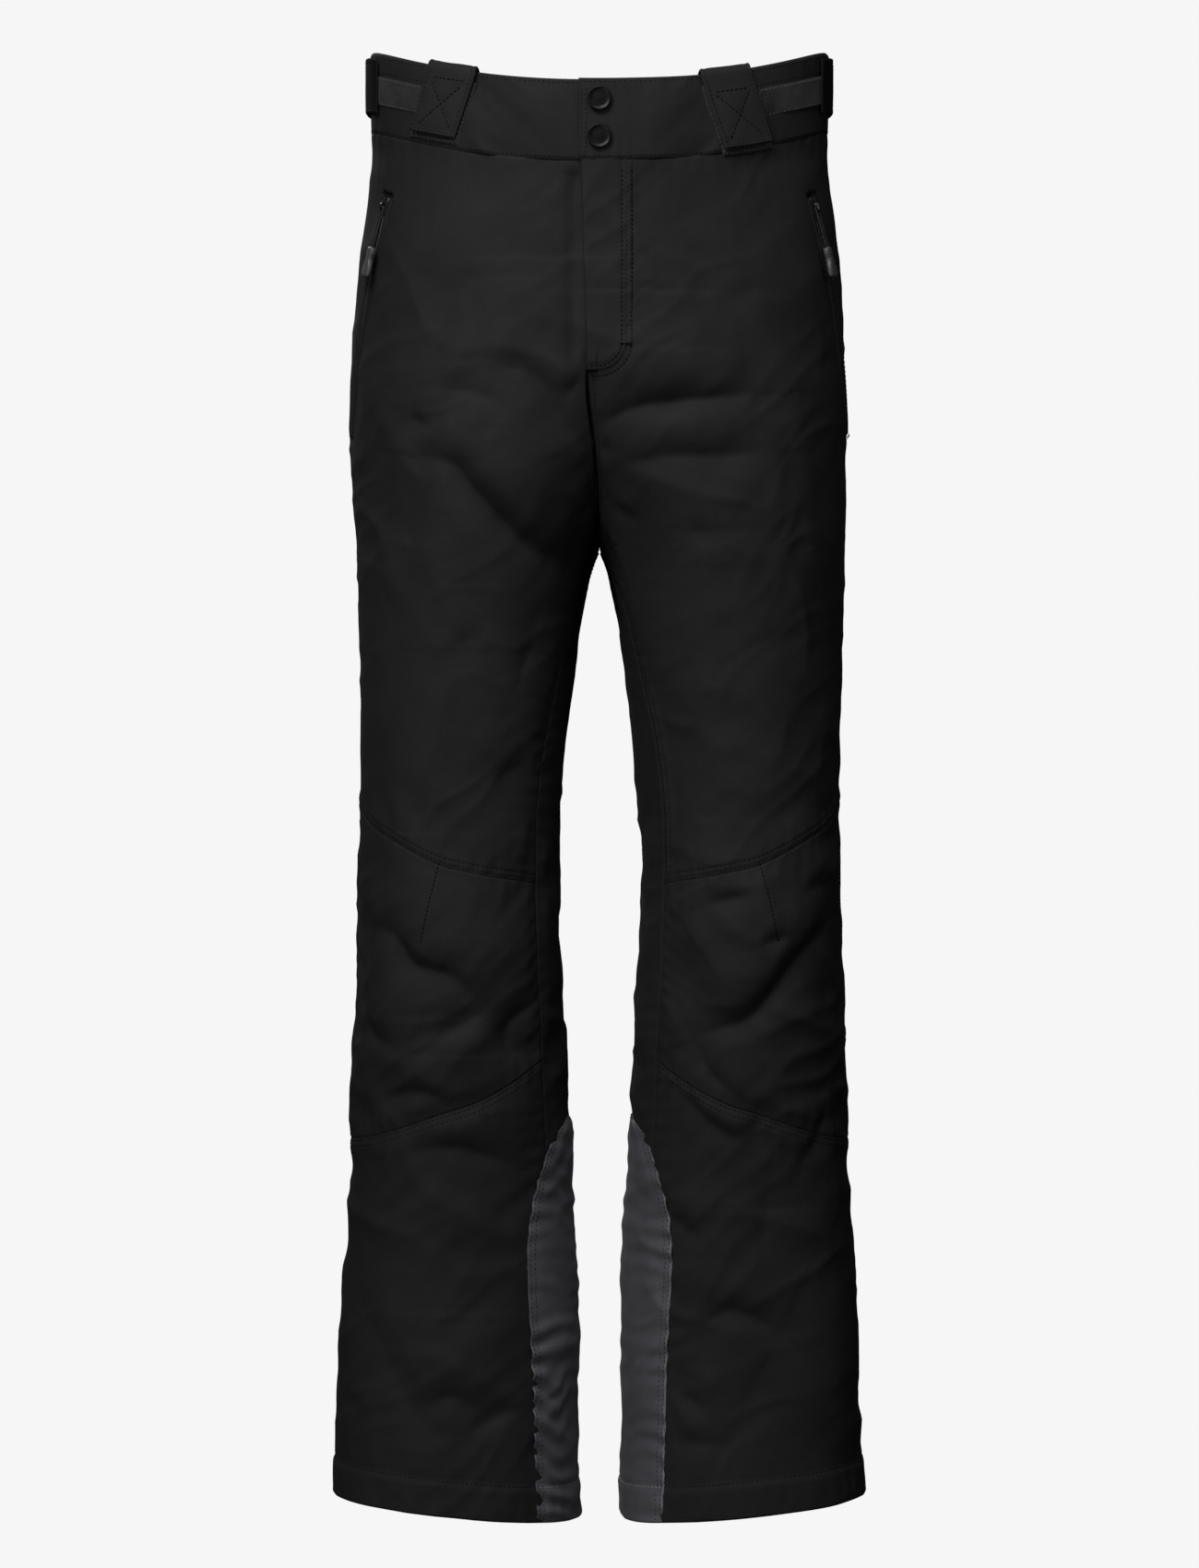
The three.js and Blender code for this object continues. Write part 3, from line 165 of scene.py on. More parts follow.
@dataclass(frozen=True)
class BodyShape:
    """The cloth's outer face: each half is a tube, and the tubes merge above the crotch."""

    band_top: float = 30.0
    band_height: float = 60.0
    front_dip: float = 33.0
    back_dip: float = 3.0
    rise: float = 367.0
    inseam: float = 712.0
    knee_drop: float = 300.0
    waist_half_width: float = 169.0
    hip_half_width: float = 184.5
    hem_outer: float = 198.0
    hem_inner: float = 16.0
    hem_rise: float = 18.0
    roundness: float = 2.25
    side_seam: float = 195.0
    profile: list[Curve] = field(init=False)

    def __post_init__(self) -> None:
        """Fit the four edge curves through the stations."""
        waist, hip = self.waist_half_width, self.hip_half_width

        def rise(share: float) -> float:
            """Height at a share of the way from the band's top to the crotch."""
            return self.band_top - share * self.rise

        def thigh(share: float) -> float:
            """Height at a share of the way from the crotch to the knee."""
            return self.crotch_z - share * self.knee_drop

        def shin(share: float) -> float:
            """Height at a share of the way from the knee to the hem."""
            return self.knee_z - share * (self.inseam - self.knee_drop)

        stations = [
            (rise(0), waist, -waist, -99, 100),
            (rise(0.16), waist, -waist, -103, 110),
            (rise(0.25), waist + 2, -waist - 2, -105, 118),
            (rise(0.35), 175.5, -163, -107, 129),
            (rise(0.45), 180, -147, -109.5, 139),
            (rise(0.58), 183, -112, -112, 148),
            (rise(0.72), hip, -70, -112.5, 151),
            (rise(0.85), 183.5, -34, -111, 147),
            (rise(1), 181, 0, -108, 134),
            (thigh(0.1), 180.5, 8.5, -106, 126),
            (thigh(0.25), 179.5, 16, -103, 116),
            (thigh(0.5), 178.3, 25, -100, 100),
            (thigh(0.75), 178, 29.5, -98, 87),
            (thigh(1), 179, 28.7, -97, 77),
            (shin(0.18), 181.5, 26, -90, 75),
            (shin(0.4), 185, 22.5, -80, 79),
            (shin(0.65), 192, 17.5, -75.5, 84),
            (shin(1), self.hem_outer, self.hem_inner, -76, 88),
        ]
        curves = [smooth_through([(s[0], s[k]) for s in stations]) for k in range(1, 5)]
        object.__setattr__(self, "profile", curves)

    @property
    def crotch_z(self) -> float:
        """Height of the crotch."""
        return self.band_top - self.rise

    @property
    def knee_z(self) -> float:
        """Height of the back of the knee."""
        return self.crotch_z - self.knee_drop

    @property
    def hem_z(self) -> float:
        """Height of the inner end of the hem."""
        return self.crotch_z - self.inseam

    @property
    def leg_top_z(self) -> float:
        """Height of the crease that the thigh swings from."""
        return self.crotch_z - 13.0

    def section(self, z: Array) -> tuple[Array, Array, Array, Array]:
        """Centre x and y, half width and half depth at a height."""
        outer, inner, front, back = [curve(z) for curve in self.profile]
        return (outer + inner) / 2, (front + back) / 2, (outer - inner) / 2, (back - front) / 2

    def point(self, angle: Array, z: Array) -> Array:
        """Find places on the outer face of the left half.

        Args:
            angle: degrees round the leg: 0 at the inner side, 90 in front, 180 at the outer side.
            z: heights.

        Returns:
            Places, last axis x, y, z.
        """
        angle, z = np.broadcast_arrays(np.asarray(angle, float), np.asarray(z, float))
        cx, cy, a, b = self.section(z)
        turn = np.radians(angle)
        power = 2 / self.roundness
        c, s = np.cos(turn), np.sin(turn)
        x = cx - a * np.sign(c) * np.abs(c) ** power
        y = cy - b * np.sign(s) * np.abs(s) ** power
        return np.stack([x, y, z], axis=-1)

    def normal(self, angle: Array, z: Array) -> Array:
        """Outward directions on the outer face."""
        up = self.point(angle, z + 1) - self.point(angle, z - 1)
        return unit(np.cross(self.point(angle + 0.6, z) - self.point(angle - 0.6, z), up))

    def angle_at_x(self, x: Array, z: Array) -> Array:
        """Find the angle at which the front of a section is x from the middle.

        Args:
            x: distances from the middle.
            z: heights of the sections.

        Returns:
            Angles in degrees, from 0 to 180.
        """
        cx, _, a, _ = self.section(z)
        share = np.clip((cx - x) / a, -1, 1)
        return np.degrees(np.arccos(np.sign(share) * np.abs(share) ** (self.roundness / 2)))

    def band_top_at(self, angle: Array) -> Array:
        """Height of the waistband's top edge."""
        dip = np.where(np.asarray(angle) < 180, self.front_dip, self.back_dip)
        return self.band_top - dip * np.abs(np.sin(np.radians(angle))) ** (4 / self.roundness)

    def band_low_at(self, angle: Array) -> Array:
        """Height of the waistband's bottom edge."""
        return self.band_top_at(angle) - self.band_height


SHAPE = BodyShape()


@dataclass(frozen=True)
class FlySizes:
    """The fly and the waist tab above it, in millimetres left of the middle and up."""

    hinge: float = 20.5
    tab_left: float = -15.0
    low: float = -215.0
    corner: float = 22.0
    tab_lift: float = 4.6
    flap_lift: float = 4.4
    fades_at: float = 84.0
    valley: float = 3.0
    valley_width: float = 5.0
    inner_line: float = 4.5
    outer_line: float = -2.6
    outer_until: float = -7.0

    def rise(self, points: Array) -> Array:
        """How far the left side stands out to cover the fly."""
        x, z = points[..., 0], points[..., 2]
        return self.flap_lift * (1 - smoothstep(x, self.hinge, self.fades_at)) * smoothstep(z, -234, -196)

    def inside(self, points: Array) -> Array:
        """Measure the distance inside the flap's sewn line, which turns in at its lower corner.

        Args:
            points: places, last axis x, y, z.

        Returns:
            Distances, below zero outside the line.
        """
        x, z = points[..., 0], points[..., 2]
        over, under = x - (self.hinge - self.corner), self.low + self.corner - z
        turned = self.corner - np.hypot(over, under)
        return np.where((over > 0) & (under > 0), turned, np.minimum(self.hinge - x, z - self.low))

    def path(self, gap: float) -> Array:
        """Draw a line that keeps a distance inside the sewn line.

        Args:
            gap: the distance, below zero outside the sewn line.

        Returns:
            Its points (x, z), from the band down and across to the flap's free edge.
        """
        radius = self.corner - gap
        turn = np.linspace(0, math.pi / 2, 24)
        x = self.hinge - self.corner + radius * np.cos(turn)
        z = self.low + self.corner - radius * np.sin(turn)
        down = np.linspace(-68.0, z[0] + 2, 60)
        across = np.linspace(x[-1] - 1, -9.5, 8)
        return np.concatenate([np.stack([np.full(60, x[0]), down], axis=-1), np.stack([x, z], axis=-1),
                               np.stack([across, np.full(8, z[-1])], axis=-1)])

    def dip(self, points: Array, hand: int) -> Array:
        """How far a side's cloth sinks beside the flap: a valley on the right, a sewn line on the left.

        Args:
            points: places in the row frame.
            hand: 1 for the left side, -1 for the right.

        Returns:
            Depths in millimetres.
        """
        x, z = points[..., 0], points[..., 2]
        below_band = 1 - smoothstep(z, -74, -64)
        if hand > 0:
            return 0.8 * bell(self.inside(points) - self.outer_line, 1.0) * below_band
        down = smoothstep(z, self.low - 8, self.low + 20) * below_band
        return self.valley * bell(x - self.tab_left + 3.5, self.valley_width) * down


FLY = FlySizes()


class Seams:
    """Where the panels meet, as curves on the leg."""

    def __init__(self, shape: BodyShape) -> None:
        """Fit the seams.

        Args:
            shape: the body that they lie on.
        """
        self.shape = shape
        knee, crotch, shin = shape.knee_z, shape.crotch_z, shape.inseam - shape.knee_drop
        self.inseam = smooth_through([
            (crotch, 0), (crotch - 30, 22), (crotch - 81, 31), (crotch - 165, 41),
            (knee, 41), (knee - 0.2 * shin, 39), (knee - shin, 38),
        ])
        self.upper_knee = smooth_through([
            (40, knee + 55), (90, knee + 66), (135, knee + 92), (195, knee + 115),
            (235, knee + 50), (270, knee), (330, knee + 25), (400, knee + 55),
        ])
        self.lower_knee = smooth_through([
            (40, knee - 74), (90, knee - 108), (135, knee - 128), (195, knee - 135),
        ])

        self.fly_edge = smooth_through([
            (-60, 17.0), (-172, 17.0), (-182, 14), (-190, 8), (-197, 1), (-204, -5), (-211, -8.6),
            (-217, -9.2), (-275, -4.0), (crotch, 0.0),
        ])

    def front_edge(self, hand: int) -> Curve:
        """Angle of a front panel's inner edge.

        Args:
            hand: 1 for the left side, which stops at the fly; -1 for the right, which runs under it.

        Returns:
            A function of height.
        """
        covered = smooth_through([(-190, 6.0), (-214, -9.2), (-275, -4.0), (self.shape.crotch_z, 0.0)])
        edge = self.fly_edge if hand > 0 else (lambda z: -covered(z))

        def angle(z: Array) -> Array:
            """Angle of the edge at heights."""
            above = self.shape.angle_at_x(edge(z), z)
            return np.where(z > self.shape.crotch_z, above, self.inseam(z))

        return angle

    def back_edge(self, z: Array) -> Array:
        """Angle of the back panels' inner edge."""
        above = 360 - self.shape.angle_at_x(0.0, z)
        return np.where(z > self.shape.crotch_z, above, 360 + self.inseam(z))

    def hem(self, angle: Array) -> Array:
        """Height of the hem, which rises towards the outer side.

        Args:
            angle: degrees round the leg.

        Returns:
            Heights in millimetres.
        """
        s = self.shape
        z = np.full(np.shape(angle), s.hem_z)
        for _ in range(4):
            x = s.point(angle, z)[..., 0]
            share = (x - s.hem_inner) / (s.hem_outer - s.hem_inner)
            z = s.hem_z + s.hem_rise * share
        return z


SEAMS = Seams(SHAPE)


class PocketArc:
    """The arc that a hand pocket's zip lies on, taken from the slider's own joint."""

    def __init__(self, count: int = 190, overrun: float = 0.6) -> None:
        """Find places along the zip of the left side.

        Args:
            count: how many places.
            overrun: degrees that the zip runs on past both ends of the slider's travel.
        """
        joints = {joint["name"]: joint for joint in frame["joints"]}
        swing = joints["pocket_slider_left_swing"]
        centre = np.array(swing["pos_m"]) / MM
        axis = unit(np.array(swing["axis"], float))
        start = np.array(joints["pocket_pull_left_hinge"]["pos_m"]) / MM
        arm = start - centre
        turns = np.radians(np.linspace(-overrun, swing["range_deg"][1] + overrun, count))[:, None]
        swung = arm * np.cos(turns) + np.cross(axis, arm) * np.sin(turns)
        path = centre + swung + axis * (axis @ arm) * (1 - np.cos(turns))
        self.along = unit(np.gradient(path, axis=0))
        out = np.array([SHAPE.normal(self._angle(p), p[2]) for p in path])
        self.across = unit(np.cross(self.along, out))
        self.out = unit(np.cross(self.across, self.along))
        on_cloth = np.array([SHAPE.point(self._angle(p), p[2]) for p in path])
        lift = float(np.einsum("ij,ij->i", path - on_cloth, self.out).mean())
        self.path = path - self.out * lift

    @staticmethod
    def _angle(place: Array) -> Array:
        """Angle round the leg of a place near the outer side."""
        cx, cy, a, b = SHAPE.section(place[2])
        return 180 + np.degrees(np.arctan2(place[1] - cy, (place[0] - cx) * b / a))

    def distance(self, points: Array) -> Array:
        """Measure how far places are from the zip.

        Args:
            points: places on the left half, one a row.

        Returns:
            Distances; 999 where a place is nowhere near.
        """
        best = np.full(len(points), 999.0)
        near = (points[:, 0] > 100) & (points[:, 2] < 0) & (points[:, 2] > -330) & (points[:, 1] < 60)
        gaps = np.linalg.norm(points[near][:, None, :] - self.path[None, ::3, :], axis=2)
        best[near] = gaps.min(axis=1) if near.any() else best[near]
        return best


POCKET = PocketArc()


# ---- folds


class Face(Enum):
    """The side of the body that a fold is drawn on."""

    FRONT = 1
    BACK = -1


@dataclass(frozen=True)
class Fold:
    """A crease along a line, with cloth swelling out beside it.

    The path is (x, z) in millimetres, seen straight on. Going towards +X, the upper side is the
    positive one.
    """

    path: tuple[tuple[float, float], ...]
    depth: float
    width: float
    swell: float = 0.7
    side: int = 1
    face: Face = Face.FRONT

    def line(self, shape: BodyShape) -> Array:
        """Lay the path on the cloth, smoothed and closely spaced.

        Args:
            shape: the body that it lies on.

        Returns:
            Places along it, one a row.
        """
        raw = np.array(self.path, float)
        gaps = np.linalg.norm(np.diff(raw, axis=0), axis=1)
        run = np.concatenate([[0], np.cumsum(gaps)])
        at = np.linspace(0, run[-1], max(3, int(run[-1] / 7)))
        if len(raw) > 2:
            x = smooth_through(list(zip(run, raw[:, 0])))(at)
            z = smooth_through(list(zip(run, raw[:, 1])))(at)
        else:
            x, z = np.interp(at, run, raw[:, 0]), np.interp(at, run, raw[:, 1])
        angle = shape.angle_at_x(np.abs(x), z)
        if self.face is Face.BACK:
            angle = 360 - angle
        found = shape.point(angle, z)
        found[:, 0] = np.abs(found[:, 0]) * np.where(x < 0, -1, 1)
        return found

    def height(self, points: Array, normals: Array, shape: BodyShape) -> Array:
        """How far the fold moves the cloth out (or in, below zero) at each place.

        Args:
            points: places on the smooth cloth, one a row.
            normals: outward directions there.
            shape: the body that the path lies on.

        Returns:
            Heights in millimetres.
        """
        line = self.line(shape)
        reach = 6 * self.width
        near = np.all((points > line.min(0) - reach) & (points < line.max(0) + reach), axis=1)
        result = np.zeros(len(points))
        if not near.any():
            return result
        p, n = points[near], normals[near]
        start, run = line[:-1], np.diff(line, axis=0)
        squared = (run**2).sum(1)
        best = np.full(len(p), np.inf)
        signed = np.zeros(len(p))
        along = np.zeros(len(p))
        for k in range(len(run)):
            t = np.clip(((p - start[k]) @ run[k]) / squared[k], 0, 1)
            away = p - start[k] - t[:, None] * run[k]
            gap = np.linalg.norm(away, axis=1)
            closer = gap < best
            side = np.sign((np.cross(n, run[k]) * away).sum(1))
            best = np.where(closer, gap, best)
            signed = np.where(closer, side * gap, signed)
            along = np.where(closer, (k + t) / len(run), along)
        fade = np.sin(np.pi * np.clip(along, 0.03, 0.97)) ** 0.7
        q = signed * self.side / (self.width * 1.25)
        crease = -0.9 * np.exp(-(np.abs(q) ** 1.5) * 1.25)
        lip = np.where(q > 0, q / 1.3 * np.exp(1 - q / 1.3), 0) * self.swell * 1.25
        far = np.where(q < 0, -q * 0.6 * np.exp(1 + q * 0.6), 0) * self.swell * 0.45
        result[near] = self.depth * fade * (crease + lip + far)
        return result


# Rows of Fold: path, depth, width, swell and side.
RIGHT_FOLDS = [
    (((-127, -274), (-104, -280), (-95, -293), (-69, -321), (-52, -336), (-32, -346), (-19, -347)),
     6.0, 11, 1.0),
    (((-86, -214), (-57, -211), (-42, -225), (-35, -238), (-19, -260), (-8, -274)), 4.2, 13, 0.8),
    (((-119, -225), (-95, -228), (-69, -237)), 2.6, 13, 0.8),
    (((-138, -243), (-119, -255)), 2.4, 10),
    (((-27, -233), (-12, -217)), 2.0, 7),
    (((-108, -411), (-82, -402)), 1.8, 14),
    (((-60, -443), (-47, -405)), 2.0, 12, 0.7, -1),
    (((-118, -156), (-74, -146)), 1.5, 16),
    (((-168, -612), (-146, -620), (-133, -640), (-109, -646), (-89, -667)), 4.4, 11, 0.9),
    (((-120, -694), (-101, -685), (-85, -673)), 3.6, 9, 0.9, -1),
    (((-168, -681), (-162, -693), (-144, -699)), 2.8, 10),
    (((-158, -737), (-125, -732), (-105, -744)), 2.8, 9, 0.8),
    (((-138, -777), (-105, -772), (-56, -789)), 3.0, 11, 0.8),
    (((-64, -705), (-66, -685), (-44, -665)), 2.6, 9, 0.7, -1),
    (((-76, -509), (-52, -493)), 1.6, 12),
    (((-178, -880), (-157, -919), (-136, -960), (-106, -990)), 2.0, 21, 0.9),
    (((-126, -961), (-108, -953), (-88, -965)), 2.6, 10, 0.8),
    (((-95, -980), (-72, -968), (-49, -963)), 2.4, 10, 0.8, -1),
    (((-120, -840), (-90, -852), (-62, -846)), 1.3, 18),
]
LEFT_FOLDS = [
    (((-4, -254), (17, -243), (33, -238), (67, -234), (112, -229)), 5.0, 12, 1.0),
    (((15, -281), (50, -274), (84, -274), (119, -271)), 3.4, 12, 0.8),
    (((1, -266), (12, -270)), 1.6, 6),
    (((6, -305), (27, -321)), 2.2, 8, 0.7),
    (((58, -318), (86, -339)), 1.8, 12, 0.7),
    (((82, -163), (115, -155)), 1.4, 15),
    (((100, -412), (132, -404)), 1.5, 15),
    (((70, -470), (104, -462)), 1.2, 18),
    (((76, -597), (109, -589)), 3.0, 9, 0.8),
    (((114, -625), (135, -619)), 3.2, 8, 0.8),
    (((74, -691), (105, -679), (121, -663), (141, -636), (167, -609)), 5.0, 12, 1.0),
    (((68, -693), (80, -717), (101, -738)), 3.2, 10, 0.8),
    (((58, -732), (80, -754), (101, -770)), 2.8, 9, 0.8),
    (((146, -588), (170, -578)), 2.4, 8),
    (((118, -743), (110, -768)), 2.2, 8, 0.7, -1),
    (((168, -738), (160, -762), (147, -785)), 2.6, 9, 0.8, -1),
    (((68, -908), (97, -891), (133, -910)), 3.0, 12, 0.9),
    (((132, -907), (121, -932), (103, -964)), 1.8, 17, 0.9, -1),
    (((122, -795), (118, -860)), 2.4, 15, 0.7, -1),
    (((46, -821), (72, -839)), 2.0, 9),
    (((57, -952), (78, -965)), 1.8, 8),
    (((53, -987), (90, -988)), 2.0, 9),
]
SEAT_FOLDS = [
    (((-140, -262), (-95, -292), (-40, -306)), 5.0, 17, 0.9),
    (((30, -300), (88, -290), (142, -258)), 5.0, 17, 0.9),
    (((-120, -330), (-70, -345), (-25, -338)), 3.4, 13, 0.8),
    (((25, -345), (75, -341), (125, -322)), 3.4, 13, 0.8),
    (((-148, -196), (-108, -210)), 2.0, 15, 0.7),
    (((104, -208), (150, -190)), 2.0, 15, 0.7),
    (((-140, -430), (-95, -442), (-55, -436)), 2.2, 16, 0.7),
    (((60, -424), (100, -438), (142, -420)), 2.2, 16, 0.7),
    (((-150, -600), (-105, -618), (-52, -610)), 4.2, 12, 0.9),
    (((54, -604), (104, -622), (152, -598)), 4.2, 12, 0.9),
    (((-152, -650), (-100, -642), (-50, -654)), 4.6, 12, 0.9),
    (((52, -650), (98, -640), (150, -656)), 4.6, 12, 0.9),
    (((-150, -690), (-104, -702), (-56, -690)), 3.6, 12, 0.9, -1),
    (((50, -696), (100, -704), (154, -688)), 3.6, 12, 0.9, -1),
    (((-150, -800), (-110, -830), (-70, -838)), 2.4, 15, 0.7),
    (((66, -812), (112, -836), (156, -826)), 2.4, 15, 0.7),
    (((-160, -930), (-120, -958), (-70, -960)), 3.2, 15, 0.8),
    (((70, -950), (124, -946), (166, -916)), 3.2, 15, 0.8),
]
FOLDS = [Fold(*row) for row in RIGHT_FOLDS + LEFT_FOLDS]
FOLDS += [Fold(*row, face=Face.BACK) for row in SEAT_FOLDS]


class Edge(Enum):
    """How a panel's edge is finished."""

    OPEN = "open"
    SUNK = "sunk"
    STITCHED = "stitched"
    HEM = "hem"


@dataclass(frozen=True)
class EdgeRelief:
    """The shape of the cloth close to a seam."""

    groove: float = 0.65
    welt: float = 0.3
    welt_width: float = 7.5
    welt_lines: tuple[float, float] = (2.0, 6.3)
    hem_line: float = 25.0
    dip: float = 0.4
    pucker: float = 0.6
    pucker_length: float = 13.0
    pucker_reach: float = 15.0

    def height(self, kind: Edge, gap: Array, along: Array, points: Array, seed: int) -> Array:
        """How far the cloth stands out near one edge.

        Args:
            kind: the edge's finish.
            gap: distance from the edge, in millimetres.
            along: distance along it.
            points: the places themselves, for uneven gathers.
            seed: a different seed for each edge.

        Returns:
            Heights in millimetres.
        """
        if kind is Edge.OPEN:
            return np.zeros_like(gap)
        drift = noise(points, (45, 45, 45), seed) * 3.0
        wave = np.sin(along / self.pucker_length * 2 * math.pi + drift)
        strength = 0.55 + 0.45 * noise(points, (30, 30, 30), seed + 7)
        pucker = self.pucker * strength * wave * np.exp(-gap / self.pucker_reach)
        if kind is Edge.HEM:
            fold = 1.2 * (1 - smoothstep(gap, 22, 27))
            line = self.dip * 1.6 * bell(gap - self.hem_line, 1.4)
            return fold - line + 1.3 * pucker * smoothstep(gap, 0, 10)
        result = -self.groove * bell(gap, 0.9) + pucker * smoothstep(gap, 0, 3)
        if kind is Edge.STITCHED:
            result += self.welt * (1 - smoothstep(gap, self.welt_width, self.welt_width + 2.5))
            for stitch in self.welt_lines:
                result -= self.dip * bell(gap - stitch, 0.9)
        return result


RELIEF = EdgeRelief()


def drape(points: Array) -> Array:
    """Make the slack of the cloth between its folds: long soft waves and fine crumples.

    Args:
        points: places on the smooth cloth, in the row frame.

    Returns:
        Heights in millimetres.
    """
    z = points[..., 2]
    low = 2.0 * noise(points, (62, 70, 120), 3)
    low += 1.1 * noise(points + 0.35 * points[..., [2, 0, 1]], (34, 40, 52), 11)
    warp = np.stack([noise(points, (55, 55, 55), seed) for seed in (91, 92, 93)], axis=-1) * 16
    bent = points + warp
    busy = 0.55 + 0.75 * bell(z - SHAPE.knee_z + 40, 130) + 0.35 * bell(z - SHAPE.hem_z - 130, 110)
    busy += 0.35 * bell(z - SHAPE.crotch_z - 50, 80)
    facet = 1 - 1.6 * np.sqrt(noise(bent + 0.45 * bent[..., [2, 1, 0]], (58, 60, 42), 23) ** 2 + 0.004)
    small = 1 - 1.6 * np.sqrt(noise(bent - 0.6 * bent[..., [2, 1, 0]], (27, 30, 22), 29) ** 2 + 0.004)
    grain = 0.14 * noise(points, (9, 9, 9), 31)
    return low + busy * (2.1 * facet + 1.05 * small) - 1.4 + grain


def relief(points: Array, normals: Array, hand: int) -> Array:
    """All folds and slack at places on one half.

    Args:
        points: places on the smooth cloth of the left half, rows by columns.
        normals: outward directions there.
        hand: 1 for the left half, -1 for the right.

    Returns:
        Heights in millimetres.
    """
    flip = np.array([hand, 1, 1])
    flat = (points * flip).reshape(-1, 3)
    outward = (normals * flip).reshape(-1, 3)
    total = drape(flat) * smoothstep(-flat[:, 2], -SHAPE.band_top, 90)
    for fold in FOLDS:
        total += fold.height(flat, outward, SHAPE)
    gap = POCKET.distance(points.reshape(-1, 3))
    total = total * (1 - 0.9 * bell(gap, 14)) - 3.0 * (1 - smoothstep(gap, 2.4, 4.6))
    total = total - FLY.dip(flat, hand)
    return total.reshape(points.shape[:-1])


# ---- meshes


def side_of(hand: int) -> str:
    """Name the side: 1 is the wearer's left, -1 the right."""
    return "left" if hand > 0 else "right"


def mesh_object(name: str, points: Array, faces: Iterable[Sequence[int]],
                finish: "Finish", smooth: bool = True) -> bpy.types.Object:
    """Make an object from places in millimetres.

    Args:
        name: the piece's name.
        points: its vertices, one a row.
        faces: vertex numbers of each face.
        finish: what it is made of.
        smooth: shade it smoothly.

    Returns:
        The new object, linked to the scene.
    """
    mesh = bpy.data.meshes.new(name)
    mesh.from_pydata((np.asarray(points) * MM).tolist(), [], [list(f) for f in faces])
    mesh.update()
    mesh.polygons.foreach_set("use_smooth", [smooth] * len(mesh.polygons))
    made = bpy.data.objects.new(name, mesh)
    bpy.context.scene.collection.objects.link(made)
    mesh.materials.append(finish.material())
    return made


def grid_faces(rows: int, columns: int, ring: bool = False, flip: bool = False,
               start: int = 0) -> list[tuple[int, int, int, int]]:
    """List the faces of a grid of vertices, numbered row by row.

    Args:
        rows: how many rows.
        columns: how many vertices in a row.
        ring: join the last column to the first.
        flip: turn the faces over.
        start: the first vertex's number.

    Returns:
        Four vertex numbers for each face.
    """
    last = columns if ring else columns - 1
    j, i = np.meshgrid(np.arange(rows - 1), np.arange(last), indexing="ij")
    k = (i + 1) % columns
    quads = [j * columns + i, j * columns + k, (j + 1) * columns + k, (j + 1) * columns + i]
    found = np.stack(quads, axis=-1).reshape(-1, 4) + start
    return (found[:, ::-1] if flip else found).tolist()


def graded(length: float, step: float, fine_low: bool, fine_high: bool) -> Array:
    """Space a grid along a length.

    Args:
        length: the length.
        step: the widest spacing.
        fine_low: space it closely near the start.
        fine_high: space it closely near the end.

    Returns:
        Shares of the length, from 0 to 1.
    """
    near = np.array([0, 0.7, 1.4, 2.1, 3.2, 4.6, 6.2, 7.4, 8.6, 10.0, 12.0])
    low = near if fine_low else np.array([0.0])
    high = near if fine_high else np.array([0.0])
    room = length - low[-1] - high[-1]
    if room <= step:
        return np.linspace(0, 1, max(3, int(length / step) + 1))
    middle = np.linspace(low[-1], length - high[-1], max(2, int(room / step) + 1))
    return np.unique(np.concatenate([low, middle, length - high])) / length


@dataclass
class PanelSpec:
    """One cut piece of cloth on a leg.

    Attributes:
        name: the piece's name, without its side.
        replaces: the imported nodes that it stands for.
        start: angle of the edge nearest the inner side in front, at each height.
        end: angle of the other upright edge.
        low: height of the lower edge, at each angle.
        high: height of the upper edge.
        edges: how each edge is finished.
        raised: how far it lies above the body.
        step: the grid's widest spacing.
        rise: further height at places in the row frame.
        turned_start: the start edge is folded under.
    """

    name: str
    replaces: tuple[str, ...]
    start: Curve
    end: Curve
    low: Curve
    high: Curve
    edges: dict[str, Edge]
    raised: float = 0.0
    step: float = 2.6
    rise: Optional[Callable[[Array], Array]] = None
    turned_start: bool = False


